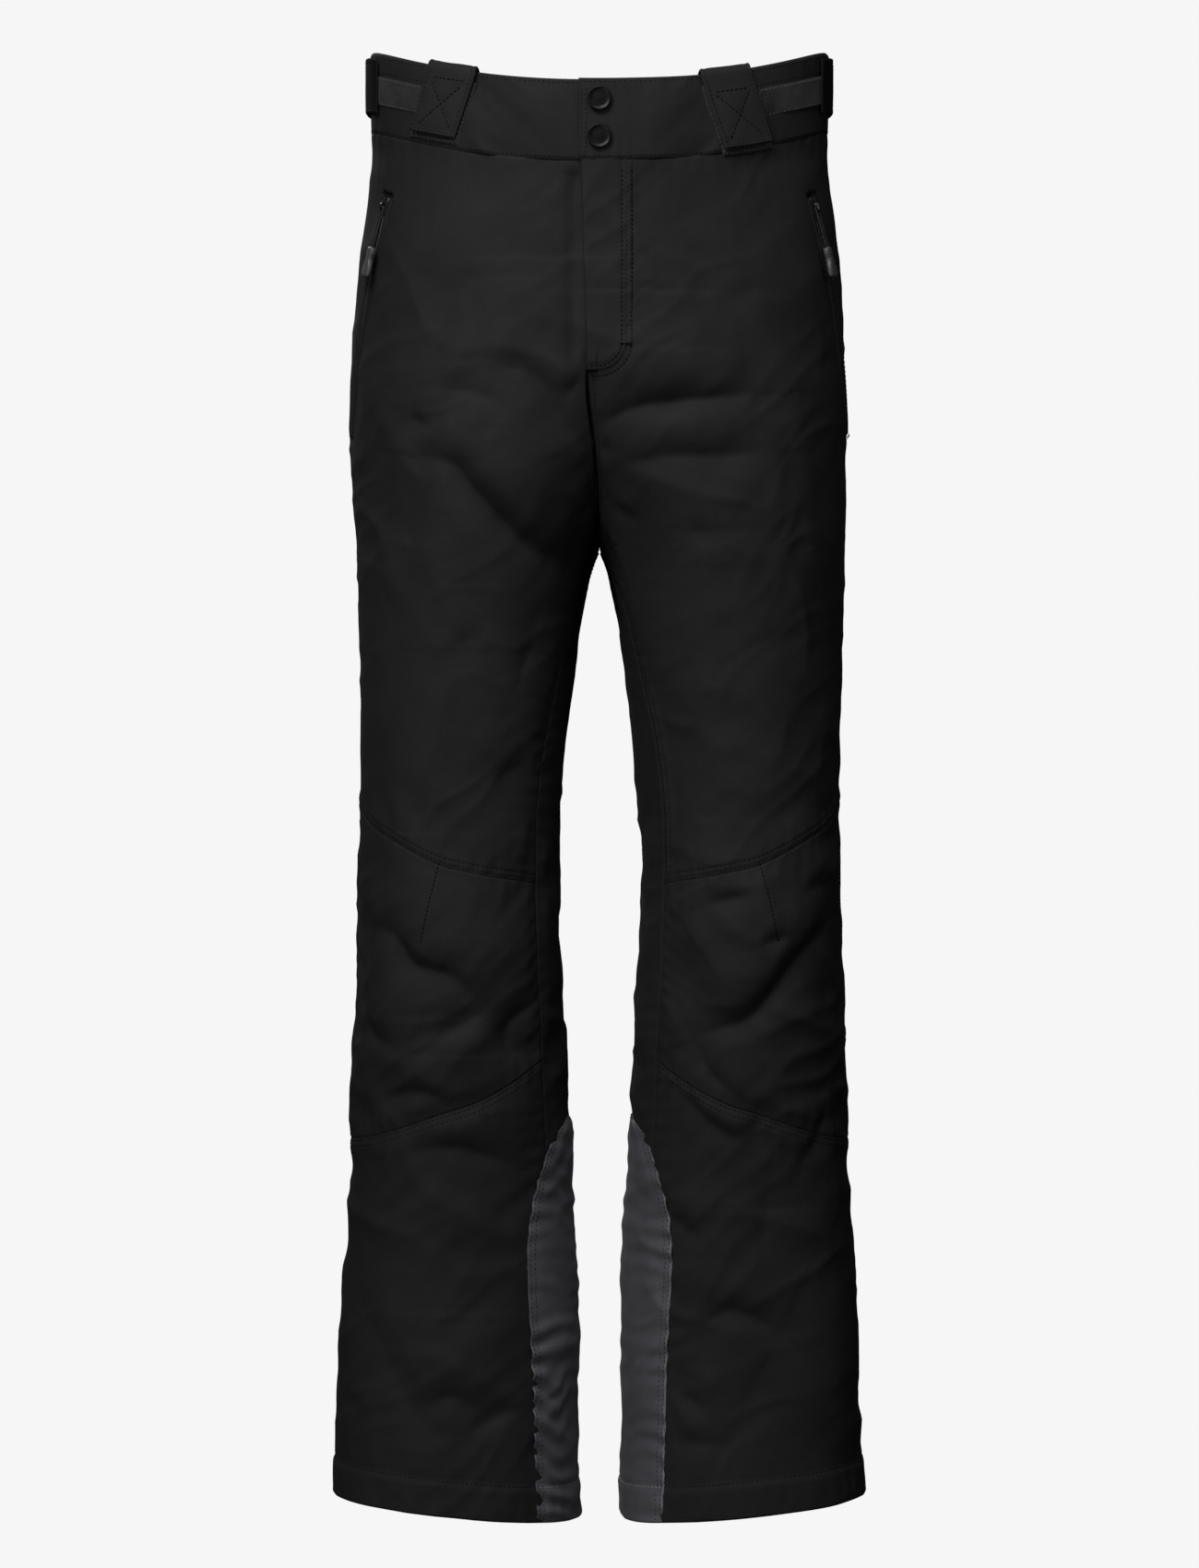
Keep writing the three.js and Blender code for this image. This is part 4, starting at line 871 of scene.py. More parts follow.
class Panel:
    """A cut piece of cloth, shaped over the body with its folds and seams."""

    def __init__(self, spec: PanelSpec, hand: int) -> None:
        """Work out the panel's grid.

        Args:
            spec: what is cut.
            hand: 1 for the left side, -1 for the right.
        """
        self.spec = spec
        self.hand = hand
        self.side = side_of(hand)
        self._place()
        self._raise()

    def _grid(self, us: Array, vs: Array) -> tuple[Array, Array]:
        """Fit the grid between the four edges.

        Args:
            us: shares across.
            vs: shares up.

        Returns:
            Angles and heights, rows by columns.
        """
        s = self.spec
        middle = np.array(s.low(np.array(150.0)) + s.high(np.array(150.0))) / 2
        angle = s.start(middle) + (s.end(middle) - s.start(middle)) * us[None, :]
        angle = np.repeat(angle.reshape(1, -1), len(vs), axis=0)
        z = np.zeros_like(angle)
        for _ in range(14):
            low, high = s.low(angle), s.high(angle)
            z = low + (high - low) * vs[:, None]
            first, last = s.start(z), s.end(z)
            angle = 0.35 * angle + 0.65 * (first + (last - first) * us[None, :])
        return angle, z

    def _place(self) -> None:
        """Choose the grid's spacing from the panel's own size."""
        rough = np.linspace(0, 1, 14)
        angle, z = self._grid(rough, rough)
        p = SHAPE.point(angle, z)
        width = np.linalg.norm(np.diff(p, axis=1), axis=2).sum(1).mean()
        height = np.linalg.norm(np.diff(p, axis=0), axis=2).sum(0).mean()
        self.size = (float(width), float(height))
        e = self.spec.edges
        fine = {side: kind is not Edge.OPEN for side, kind in e.items()}
        us = graded(width, self.spec.step, fine["start"], fine["end"])
        vs = graded(height, self.spec.step, fine["low"], fine["high"])
        self.angle, self.z = self._grid(us, vs)
        self.base = SHAPE.point(self.angle, self.z)
        self.normals = SHAPE.normal(self.angle, self.z)
        cells = np.linalg.norm(np.cross(
            self.base[1:, :-1] - self.base[:-1, :-1], self.base[:-1, 1:] - self.base[:-1, :-1]), axis=2)
        self.area = float(cells.sum())

    def _raise(self) -> None:
        """Lift and sink the grid into folds, welts and puckers."""
        across = np.linalg.norm(np.diff(self.base, axis=1), axis=2)
        up = np.linalg.norm(np.diff(self.base, axis=0), axis=2)
        from_start = np.concatenate([np.zeros((len(across), 1)), np.cumsum(across, axis=1)], axis=1)
        from_low = np.concatenate([np.zeros((1, up.shape[1])), np.cumsum(up, axis=0)], axis=0)
        to_end = from_start[:, -1:] - from_start
        to_high = from_low[-1:, :] - from_low
        world = self.base * np.array([self.hand, 1, 1])
        height = relief(self.base, self.normals, self.hand) + self.spec.raised
        rows = (("start", from_start, from_low), ("end", to_end, from_low),
                ("low", from_low, from_start), ("high", to_high, from_start))
        for seed, (side, gap, along) in enumerate(rows):
            kind = self.spec.edges[side]
            if kind is Edge.SUNK or kind is Edge.STITCHED:
                height = height * (0.35 + 0.65 * smoothstep(gap, 0, 14))
            height = height + RELIEF.height(kind, gap, along, world, 40 + seed)
        if self.spec.rise is not None:
            height = height + self.spec.rise(world)
        self.height = height
        self.gaps = {side: gap for side, gap, _ in rows}
        self.points = self.base + self.normals * height[..., None]
        inner = np.where(self.base[..., 1] < 0, self.base[:, :1, 0], 0.0)
        above = self.z > SHAPE.crotch_z
        self.points[..., 0] = np.where(above, np.maximum(self.points[..., 0], inner), self.points[..., 0])

    def flipped(self, points: Array) -> Array:
        """Places moved to the panel's own side."""
        return points * np.array([self.hand, 1, 1])

    def build(self, finish: "Finish") -> bpy.types.Object:
        """Make the panel's mesh, with a turned-up hem where it has one.

        Args:
            finish: the cloth.

        Returns:
            The piece. It stands for the spec's nodes and rides on nothing yet.
        """
        points = self.points
        if self.spec.edges["low"] is Edge.HEM:
            turn = [(0.9, -1.2), (2.6, 0.0), (3.2, 6.0), (3.4, 26.0)]
            rows = [points[:1] - self.normals[:1] * inset + np.array([0, 0, lift])
                    for inset, lift in reversed(turn)]
            points = np.concatenate(rows + [points], axis=0)
        if self.spec.turned_start:
            inward = unit(points[:, 3:4] - points[:, :1])
            turn = [(9.0, -2.3), (1.0, -2.2), (0.1, -1.4), (-0.3, -0.6)]
            sides = [points[:, :1] + inward * run + self.normals[:, :1] * lift for run, lift in turn]
            points = np.concatenate(sides + [points], axis=1)
        rows, columns = points.shape[:2]
        made = mesh_object(
            f"{self.spec.name}_{self.side}",
            self.flipped(points).reshape(-1, 3),
            grid_faces(rows, columns, flip=self.hand < 0),
            finish,
        )
        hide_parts(*[node.format(side=self.side) for node in self.spec.replaces])
        return made

    def trace(self, path: Array) -> tuple[Array, Array]:
        """Lay a line drawn straight from the front, as (x, z), on the finished cloth.

        Args:
            path: places seen from the front, in the panel's own side.

        Returns:
            Places and outward directions along it, moved to the panel's own side.
        """
        points, normals = self.points.reshape(-1, 3), self.normals.reshape(-1, 3)
        found, outward = [], []
        for x, z in path:
            away = (points[:, 0] - x) ** 2 + (points[:, 2] - z) ** 2
            near = np.argsort(away)[:5]
            weight = 1 / (away[near] + 0.3)
            weight = weight / weight.sum()
            found.append([x, (points[near, 1] * weight).sum(), z])
            outward.append((normals[near] * weight[:, None]).sum(0))
        return self.flipped(np.array(found)), self.flipped(unit(np.array(outward)))

    def line(self, side: str, gap: float, low: float = 0.0, high: float = 1.0) -> tuple[Array, Array]:
        """A line on the finished cloth at a distance from one edge.

        Args:
            side: the edge it keeps to.
            gap: how far from it, in millimetres.
            low: share of the edge's length where it starts.
            high: share where it ends.

        Returns:
            Places and outward directions along the line, in the row frame.
        """
        gaps, points, normals = self.gaps[side], self.points, self.normals
        if side in ("low", "high"):
            gaps, points, normals = gaps.T, points.transpose(1, 0, 2), normals.transpose(1, 0, 2)
        if side in ("end", "high"):
            gaps, points, normals = gaps[:, ::-1], points[:, ::-1], normals[:, ::-1]
        found, outward = [], []
        for row in range(len(gaps)):
            found.append([np.interp(gap, gaps[row], points[row, :, k]) for k in range(3)])
            outward.append([np.interp(gap, gaps[row], normals[row, :, k]) for k in range(3)])
        first, last = int(low * (len(found) - 1)), int(high * (len(found) - 1)) + 1
        return self.flipped(np.array(found[first:last])), self.flipped(unit(np.array(outward[first:last])))


# ---- stitches


@dataclass(frozen=True)
class Thread:
    """A sewing thread."""

    length: float = 2.5
    pitch: float = 3.5
    radius: float = 0.3
    lift: float = 0.12

    def stitches(self, line: Array, normals: Array) -> tuple[Array, list[tuple[int, ...]]]:
        """Lay stitches along a line: short beads with pointed ends.

        Args:
            line: places along the seam, in millimetres.
            normals: outward directions there.

        Returns:
            Vertices and faces.
        """
        gaps = np.linalg.norm(np.diff(line, axis=0), axis=1)
        run = np.concatenate([[0], np.cumsum(gaps)])
        starts = np.arange(0.6, run[-1] - self.length, self.pitch)
        if len(starts) == 0:
            return np.zeros((0, 3)), []

        def at(distance: Array, values: Array) -> Array:
            """Read values at distances along the line."""
            return np.stack([np.interp(distance, run, values[:, k]) for k in range(3)], axis=-1)

        a, b = at(starts, line), at(starts + self.length, line)
        middle = at(starts + self.length / 2, line)
        n = unit(at(starts + self.length / 2, normals))
        side = unit(np.cross(b - a, n)) * self.radius
        top = middle + n * (self.lift + self.radius)
        corners = [a, middle - side + n * self.lift, middle + side + n * self.lift, b, top]
        points = np.stack(corners, axis=1).reshape(-1, 3)
        faces = []
        for k in range(len(starts)):
            o = 5 * k
            faces += [(o, o + 4, o + 1), (o, o + 2, o + 4), (o + 3, o + 1, o + 4), (o + 3, o + 4, o + 2)]
        return points, faces


THREAD = Thread()
DENSE_THREAD = Thread(length=3.0, pitch=3.2, radius=0.5, lift=0.15)


class StitchBook:
    """Gathers runs of stitches into one piece."""

    def __init__(self, name: str) -> None:
        """Start an empty book.

        Args:
            name: the name of the piece that it makes.
        """
        self.name = name
        self.points: list[Array] = []
        self.faces: list[tuple[int, ...]] = []
        self.count = 0

    def sew(self, line: Array, normals: Array, thread: Thread = THREAD) -> None:
        """Add a run of stitches.

        Args:
            line: places along the seam.
            normals: outward directions there.
            thread: what it is sewn with.
        """
        points, faces = thread.stitches(line, normals)
        self.points.append(points)
        self.faces += [tuple(k + self.count for k in f) for f in faces]
        self.count += len(points)

    def build(self, finish: "Finish") -> Optional[bpy.types.Object]:
        """Make the stitches one mesh.

        Args:
            finish: the thread's finish.

        Returns:
            The piece, or None where no stitch was sewn.
        """
        if not self.faces:
            return None
        return mesh_object(self.name, np.concatenate(self.points), self.faces, finish, smooth=False)


# ---- finishes


def add_node(tree: bpy.types.NodeTree, kind: str, inputs: dict[str | int, object],
             **settings: object) -> bpy.types.Node:
    """Add a shader node and feed it.

    Args:
        tree: the tree that it joins.
        kind: its type, without the ShaderNode in front.
        inputs: for each input's name or number, its value or the output that feeds it.
        settings: its other properties.

    Returns:
        The new node.
    """
    made = tree.nodes.new(f"ShaderNode{kind}")
    for name, value in settings.items():
        setattr(made, name, value)
    for name, value in inputs.items():
        if isinstance(value, bpy.types.NodeSocket):
            tree.links.new(value, made.inputs[name])
        else:
            made.inputs[name].default_value = value
    return made


def new_group(name: str, inputs: dict[str, object],
              outputs: dict[str, str]) -> tuple[bpy.types.NodeTree, bpy.types.Node, bpy.types.Node]:
    """Start a shader node group.

    Args:
        name: the group's name.
        inputs: each input's usual value, a number or a colour.
        outputs: each output's kind, Float or Color.

    Returns:
        The group, its input node and its output node.
    """
    tree = bpy.data.node_groups.new(name, "ShaderNodeTree")
    for key, value in inputs.items():
        kind = "NodeSocketColor" if isinstance(value, tuple) else "NodeSocketFloat"
        tree.interface.new_socket(name=key, in_out="INPUT", socket_type=kind).default_value = value
    for key, kind in outputs.items():
        tree.interface.new_socket(name=key, in_out="OUTPUT", socket_type=f"NodeSocket{kind}")
    return tree, tree.nodes.new("NodeGroupInput"), tree.nodes.new("NodeGroupOutput")


def woven_cloth() -> bpy.types.NodeTree:
    """Find or make the group that all cloths share.

    Returns:
        The group, with a mottled tint and the height of crossing threads.
    """
    found = bpy.data.node_groups.get("woven_cloth")
    if found:
        return found
    usual = {"Colour": (0.02, 0.02, 0.02, 1), "Thread Size": 0.8, "Mottle": 0.2}
    tree, inside, outside = new_group("woven_cloth", usual, {"Tint": "Color", "Height": "Float"})
    place = add_node(tree, "TexCoord", {}).outputs["Object"]
    scale = add_node(tree, "Math", {0: 160.0, 1: inside.outputs["Thread Size"]}, operation="DIVIDE")
    feed = {"Vector": place, "Scale": scale.outputs[0], "Distortion": 1.2, "Detail": 2.0}
    waves = [add_node(tree, "TexWave", feed, bands_direction=direction) for direction in ("X", "Z")]
    crossed = {0: waves[0].outputs["Fac"], 1: waves[1].outputs["Fac"]}
    weave = add_node(tree, "Math", crossed, operation="MULTIPLY")
    blots = add_node(tree, "TexNoise", {"Vector": place, "Scale": 26.0, "Detail": 8.0, "Roughness": 0.7})
    spread = add_node(tree, "MapRange", {"Value": blots.outputs["Fac"], "From Min": 0.3, "From Max": 0.7,
                                         "To Min": -1.0})
    tinted = {0: spread.outputs["Result"], 1: inside.outputs["Mottle"], 2: 1.0}
    amount = add_node(tree, "Math", tinted, operation="MULTIPLY_ADD")
    shaded = {0: inside.outputs["Colour"], "Scale": amount.outputs[0]}
    shade = add_node(tree, "VectorMath", shaded, operation="SCALE")
    tree.links.new(shade.outputs["Vector"], outside.inputs["Tint"])
    tree.links.new(weave.outputs[0], outside.inputs["Height"])
    return tree


def faint_grain() -> bpy.types.NodeTree:
    """Find or make the group that all hard finishes share.

    Returns:
        The group, with a roughness that wanders between Low and High.
    """
    found = bpy.data.node_groups.get("faint_grain")
    if found:
        return found
    tree, inside, outside = new_group("faint_grain", {"Low": 0.3, "High": 0.4}, {"Roughness": "Float"})
    grain = add_node(tree, "TexNoise", {"Scale": 700.0})
    spread = add_node(tree, "MapRange", {"Value": grain.outputs["Fac"], "To Min": inside.outputs["Low"],
                                         "To Max": inside.outputs["High"]})
    tree.links.new(spread.outputs["Result"], outside.inputs["Roughness"])
    return tree


@dataclass(frozen=True)
class Finish:
    """What a piece is made of. Colours are linear, and thread is 0 where it isn't a cloth."""

    name: str
    slot: str
    colour: tuple[float, float, float]
    roughness: float
    metallic: float = 0.0
    sheen: float = 0.0
    specular: float = 0.5
    thread: float = 0.0
    bump: float = 0.0
    mottle: float = 0.0

    def material(self) -> bpy.types.Material:
        """Find or make the material.

        Returns:
            The material, shared by all pieces of this finish.
        """
        found = bpy.data.materials.get(self.name)
        if found:
            return found
        made = bpy.data.materials.new(self.name)
        made.use_nodes = True
        tree = made.node_tree
        shader = tree.nodes["Principled BSDF"]
        values = {"Base Color": (*self.colour, 1), "Roughness": self.roughness, "Metallic": self.metallic,
                  "Specular IOR Level": self.specular, "Sheen Weight": self.sheen, "Sheen Roughness": 0.45}
        for socket, value in values.items():
            shader.inputs[socket].default_value = value
        if self.thread:
            self._weave(tree, shader)
        else:
            self._grain(tree, shader)
        return made

    def _weave(self, tree: bpy.types.NodeTree, shader: bpy.types.Node) -> None:
        """Give a cloth its threads and an uneven tint.

        Args:
            tree: the material's nodes.
            shader: its shader.
        """
        feed = {"Colour": (*self.colour, 1), "Thread Size": self.thread, "Mottle": self.mottle}
        group = add_node(tree, "Group", feed, node_tree=woven_cloth())
        bump = add_node(tree, "Bump", {"Height": group.outputs["Height"], "Strength": self.bump,
                                       "Distance": 0.0004})
        tree.links.new(group.outputs["Tint"], shader.inputs["Base Color"])
        tree.links.new(bump.outputs["Normal"], shader.inputs["Normal"])

    def _grain(self, tree: bpy.types.NodeTree, shader: bpy.types.Node) -> None:
        """Give a hard material a faintly uneven roughness.

        Args:
            tree: the material's nodes.
            shader: its shader.
        """
        feed = {"Low": max(self.roughness - 0.06, 0.05), "High": self.roughness + 0.06}
        group = add_node(tree, "Group", feed, node_tree=faint_grain())
        tree.links.new(group.outputs["Roughness"], shader.inputs["Roughness"])


SHELL = Finish("shell_weave", "shell_cloth", (0.0150, 0.0150, 0.0151), 0.74, specular=0.16,
               thread=0.55, bump=0.18, mottle=0.12)
BAND_CLOTH = Finish("band_weave", "shell_cloth", (0.0140, 0.0140, 0.0141), 0.74, specular=0.16,
                    thread=0.55, bump=0.18, mottle=0.10)
SATIN = Finish("satin_weave", "satin_cloth", (0.083, 0.079, 0.090), 0.35, sheen=0.05, specular=0.5,
               thread=0.55, bump=0.2, mottle=0.14)
LINING = Finish("lining_taffeta", "lining_cloth", (0.016, 0.016, 0.017), 0.5, thread=0.6, bump=0.2,
                mottle=0.1)
FUZZ = Finish("loop_pile", "hook_and_loop", (0.023, 0.023, 0.024), 0.95, sheen=0.1,
              specular=0.15, thread=0.5, bump=0.5, mottle=0.55)
TAPE = Finish("ribbed_tape", "zip_tape", (0.105, 0.105, 0.108), 0.5, thread=0.9, bump=0.7, mottle=0.1)
COIL = Finish("zip_coil", "zip_tape", (0.075, 0.075, 0.077), 0.3)
SEWING = Finish("sewing_thread", "shell_cloth", (0.0012, 0.0012, 0.0012), 0.9, specular=0.05)
# Pale grey lines laid as stitches along the loop tape's edges: painted highlights on its shiny woven edge.
PAINTED_EDGE_HIGHLIGHT = Finish("painted_edge_highlight", "shell_cloth", (0.09, 0.09, 0.092), 0.5)
# The adjuster tab's cloth is the shell cloth darkened about threefold: painted shade for the tab's shaded
# inner face.
STRAP_PAINTED_SHADE = Finish("strap_weave_painted_shade", "shell_cloth", (0.0045, 0.0045, 0.0046), 0.85, specular=0.1,
               thread=0.55, bump=0.2)
PALE_SEWING = Finish("pale_sewing_thread", "satin_cloth", (0.34, 0.34, 0.36), 0.55)
ENAMEL = Finish("black_enamel", "enamelled_metal", (0.003, 0.003, 0.003), 0.32, specular=0.22)
NICKEL = Finish("dark_nickel", "zip_metal", (0.035, 0.035, 0.037), 0.3, metallic=0.9)
RUBBER = Finish("matte_rubber", "moulded_rubber", (0.060, 0.060, 0.064), 0.45)
CORD = Finish("braided_cord", "cord", (0.005, 0.005, 0.005), 0.7, thread=0.5, bump=0.8, mottle=0.2)
FLOOR = Finish("pale_floor", "shell_cloth", (0.86, 0.86, 0.86), 0.8)


# ---- legs and body panels


def level(value: float) -> Curve:
    """A curve that is the same everywhere."""
    return lambda at: np.full(np.shape(at), float(value))


@dataclass(frozen=True)
class BlendZone:
    """Two bodies and two planes across the leg, where cloth meets the next body; the planes are kept, but
    nothing bends cloth between them.
    """

    upper: str
    lower: str
    start: tuple[float, float, float]
    end: tuple[float, float, float]

    def apply(self, piece: bpy.types.Object, hand: int) -> None:
        """Bake a piece's transform into its mesh; nothing makes it bend from the upper body to the lower one.

        Args:
            piece: the piece whose transform is baked.
            hand: not used.
        """
        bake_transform(piece)


HIP_ZONE = BlendZone("hips", "thigh_{side}", (0, 0, SHAPE.crotch_z), (50, 0, SHAPE.crotch_z - 110))
KNEE_ZONE = BlendZone("thigh_{side}", "shin_{side}", (0, 0, SHAPE.knee_z + 53), (0, 0, SHAPE.knee_z - 95))
BACK_SPLIT = SHAPE.knee_z + 140


@dataclass(frozen=True)
class Legs:
    """The shell's panels on one side, with their stitches and the kick patch.

    Slack is a sheet's flat length over its length on the body. The dart is (x, height above the knee),
    patch_top is (angle, height above the hem) and patch_front the other way round. The patch's ribs are
    its crosswise folds on the left and the right.
    """

    hand: int
    slack: float = 1.12
    area_slack: float = 1.06
    dart: tuple[tuple[float, float], ...] = ((115, 72), (123, 41), (129, 12))
    patch_top: tuple[tuple[float, float], ...] = ((315, 250), (345, 290), (365, 297), (372, 296))
    patch_front: tuple[tuple[float, float], ...] = ((0, 411), (120, 413), (190, 415), (225, 412),
                                                    (255, 404), (285, 390), (300, 372))
    patch_lift: float = 2.2
    patch_lines: tuple[float, float] = (2.0, 6.0)
    ribs: tuple[float, float] = (0.75, 1.3)
    rib_pitch: float = 17.0

    def specs(self) -> list[tuple[PanelSpec, BlendZone]]:
        """Cut the panels, from the waist to the hem.

        Returns:
            Each panel, and its blend zone.
        """
        side = level(SHAPE.side_seam)
        band = SHAPE.band_low_at
        open_, sunk, sewn, hem = Edge.OPEN, Edge.SUNK, Edge.STITCHED, Edge.HEM
        split = level(BACK_SPLIT)
        front = SEAMS.front_edge(self.hand)

        def band_back(angle: Array) -> Array:
            """The band's lower edge behind, held level past the middle."""
            return band(np.minimum(angle, 270.0)) + 1.5

        def band_front(angle: Array) -> Array:
            """The band's lower edge in front, held level past the middle."""
            return band(np.maximum(angle, 90.0)) + 1.5

        return [
            (PanelSpec("front_cloth", ("front_panel_{side}", "thigh_front_{side}", "pocket_bag_{side}"),
                       front, side, SEAMS.upper_knee, band_front,
                       {"start": sewn if self.hand > 0 else sunk, "end": sunk, "low": sewn, "high": sunk},
                       rise=FLY.rise if self.hand > 0 else None),
             HIP_ZONE),
            (PanelSpec("back_cloth", ("back_panel_{side}", "thigh_back_{side}"),
                       side, SEAMS.back_edge, split, band_back,
                       {"start": sewn, "end": sunk, "low": open_, "high": sunk}, step=3.2),
             HIP_ZONE),
            (PanelSpec("knee_cloth", ("knee_panel_{side}",), front, side, SEAMS.lower_knee,
                       SEAMS.upper_knee, {"start": sunk, "end": sunk, "low": sunk, "high": sunk}),
             KNEE_ZONE),
            (PanelSpec("shin_cloth", ("shin_front_{side}",), front, side, SEAMS.hem,
                       SEAMS.lower_knee, {"start": sunk, "end": sunk, "low": hem, "high": sewn}),
             KNEE_ZONE),
            (PanelSpec("calf_cloth", ("shin_back_{side}",), side, SEAMS.back_edge, SEAMS.hem, split,
                       {"start": sewn, "end": sunk, "low": hem, "high": open_}, step=3.2),
             KNEE_ZONE),
        ]

    def build(self) -> None:
        """Make the panels, their stitches and the kick patch."""
        for spec, zone in self.specs():
            panel = Panel(spec, self.hand)
            piece = panel.build(SHELL)
            book = StitchBook(f"{spec.name}_stitches_{panel.side}")
            self._sew(spec, panel, book)
            threads = book.build(SEWING)
            for each in (piece, threads):
                if each is not None:
                    zone.apply(each, self.hand)
        self._patch()

    def _sew(self, spec: PanelSpec, panel: Panel, book: StitchBook) -> None:
        """Topstitch a panel's finished edges, and sew the lines that cross it.

        Args:
            spec: how the panel is cut.
            panel: the finished panel.
            book: takes the stitches.
        """
        for side, kind in spec.edges.items():
            if kind is Edge.STITCHED:
                for gap in RELIEF.welt_lines:
                    book.sew(*panel.line(side, gap))
            if kind is Edge.HEM:
                book.sew(*panel.line(side, RELIEF.hem_line))
        if spec.name == "front_cloth" and self.hand > 0:
            outer = FLY.path(FLY.outer_line)
            book.sew(*panel.trace(outer[outer[:, 0] > FLY.outer_until]), DENSE_THREAD)
        if spec.name == "knee_cloth":
            share = np.linspace(0, 2, 30)
            x, up = [np.interp(share, range(3), values) for values in zip(*self.dart)]
            book.sew(*panel.trace(np.stack([x, SHAPE.knee_z + up], axis=-1)), DENSE_THREAD)

    def _patch(self) -> None:
        """The satin patch at the inner ankle."""
        hem = SHAPE.hem_z
        top = smooth_through([(angle, hem + up) for angle, up in self.patch_top])
        front = smooth_through([(hem + up, angle) for up, angle in self.patch_front])
        spec = PanelSpec(
            "ankle_patch", ("kick_patch_{side}",), level(self.patch_top[0][0]), front, SEAMS.hem, top,
            {"start": Edge.SUNK, "end": Edge.SUNK, "low": Edge.HEM, "high": Edge.SUNK},
            raised=self.patch_lift, step=2.2,
        )
        panel = Panel(spec, self.hand)
        world = panel.flipped(panel.base)
        strength = 0.5 + 0.8 * noise(world, (40, 40, 34), 77)
        drift = 3.6 * noise(world, (26, 26, 48), 78) + 0.05 * world[..., 0]
        ribs = np.sin(world[..., 2] / self.rib_pitch * 2 * math.pi + drift)
        near = np.exp(-panel.gaps["end"] / 16) + 0.45
        lift = self.ribs[self.hand < 0] * ribs * strength * near
        panel.points = panel.points + panel.normals * lift[..., None]
        piece = panel.build(SATIN)
        dark, pale = [StitchBook(f"{name}_{panel.side}") for name in ("patch_stitches", "patch_hem_stitches")]
        for side in ("start", "end", "high"):
            for gap in self.patch_lines:
                dark.sew(*panel.line(side, gap))
        pale.sew(*panel.line("low", RELIEF.hem_line))
        for each in (piece, dark.build(SEWING), pale.build(PALE_SEWING)):
            KNEE_ZONE.apply(each, self.hand)


# ---- waistband


@dataclass(frozen=True)
class BandRelief:
    """The waistband's section and surface."""

    stitch_gap: float = 3.0
    face_points: int = 25

    def section(self) -> list[tuple[float, float]]:
        """Draw the section.

        Returns:
            Points round it: share of the height, and depth behind the outer face.
        """
        out = [(s, 0.0) for s in np.linspace(0.03, 0.97, self.face_points)]
        over = [(0.985, 0.4), (1.0, 1.3), (1.0, 2.2), (0.985, 3.0)]
        back = [(s, 3.3) for s in np.linspace(0.9, 0.1, 5)]
        return out + over + back + [(0.0, 2.6), (0.0, 1.2)]

    def height(self, share: Array, points: Array) -> Array:
        """How far the outer face stands out.

        Args:
            share: shares of the band's height.
            points: the places, in the row frame.

        Returns:
            Heights in millimetres.
        """
        gap = np.minimum(share, 1 - share) * SHAPE.band_height
        stitch = -0.45 * bell(gap - self.stitch_gap, 1.0)
        crown = 1.1 * np.sin(np.clip(share, 0, 1) * math.pi) ** 0.5
        along = np.degrees(np.arctan2(points[..., 0], -points[..., 1])) * 2.4
        wave = 0.5 * np.sin(along / 11 * 2 * math.pi + 3 * noise(points, (40, 40, 40), 55))
        ripple = wave * np.exp(-gap / 9) * (0.5 + 0.5 * noise(points, (25, 25, 25), 56))
        return stitch + crown + ripple + 0.8 * noise(points, (30, 30, 22), 57) + self.crumple(points)

    def crumple(self, points: Array) -> Array:
        """Make slanting creases in the front of the band, which run down towards the fly.

        Args:
            points: places in the row frame.

        Returns:
            Heights in millimetres.
        """
        x, z = np.abs(points[..., 0]), points[..., 2]
        slanted = np.stack([(x - z) * 0.7, points[..., 1], (x + z) * 0.7], axis=-1)
        ridge = 0.5 - np.sqrt(noise(slanted, (13, 400, 52), 58) ** 2 + 0.006) * 1.5
        front = smoothstep(-points[..., 1], 10, 50) * smoothstep(x, 24, 40) * (1 - smoothstep(x, 84, 104))
        return (2.4 * ridge + 2.0 * noise(slanted, (17, 400, 60), 59)) * front


BAND = BandRelief()


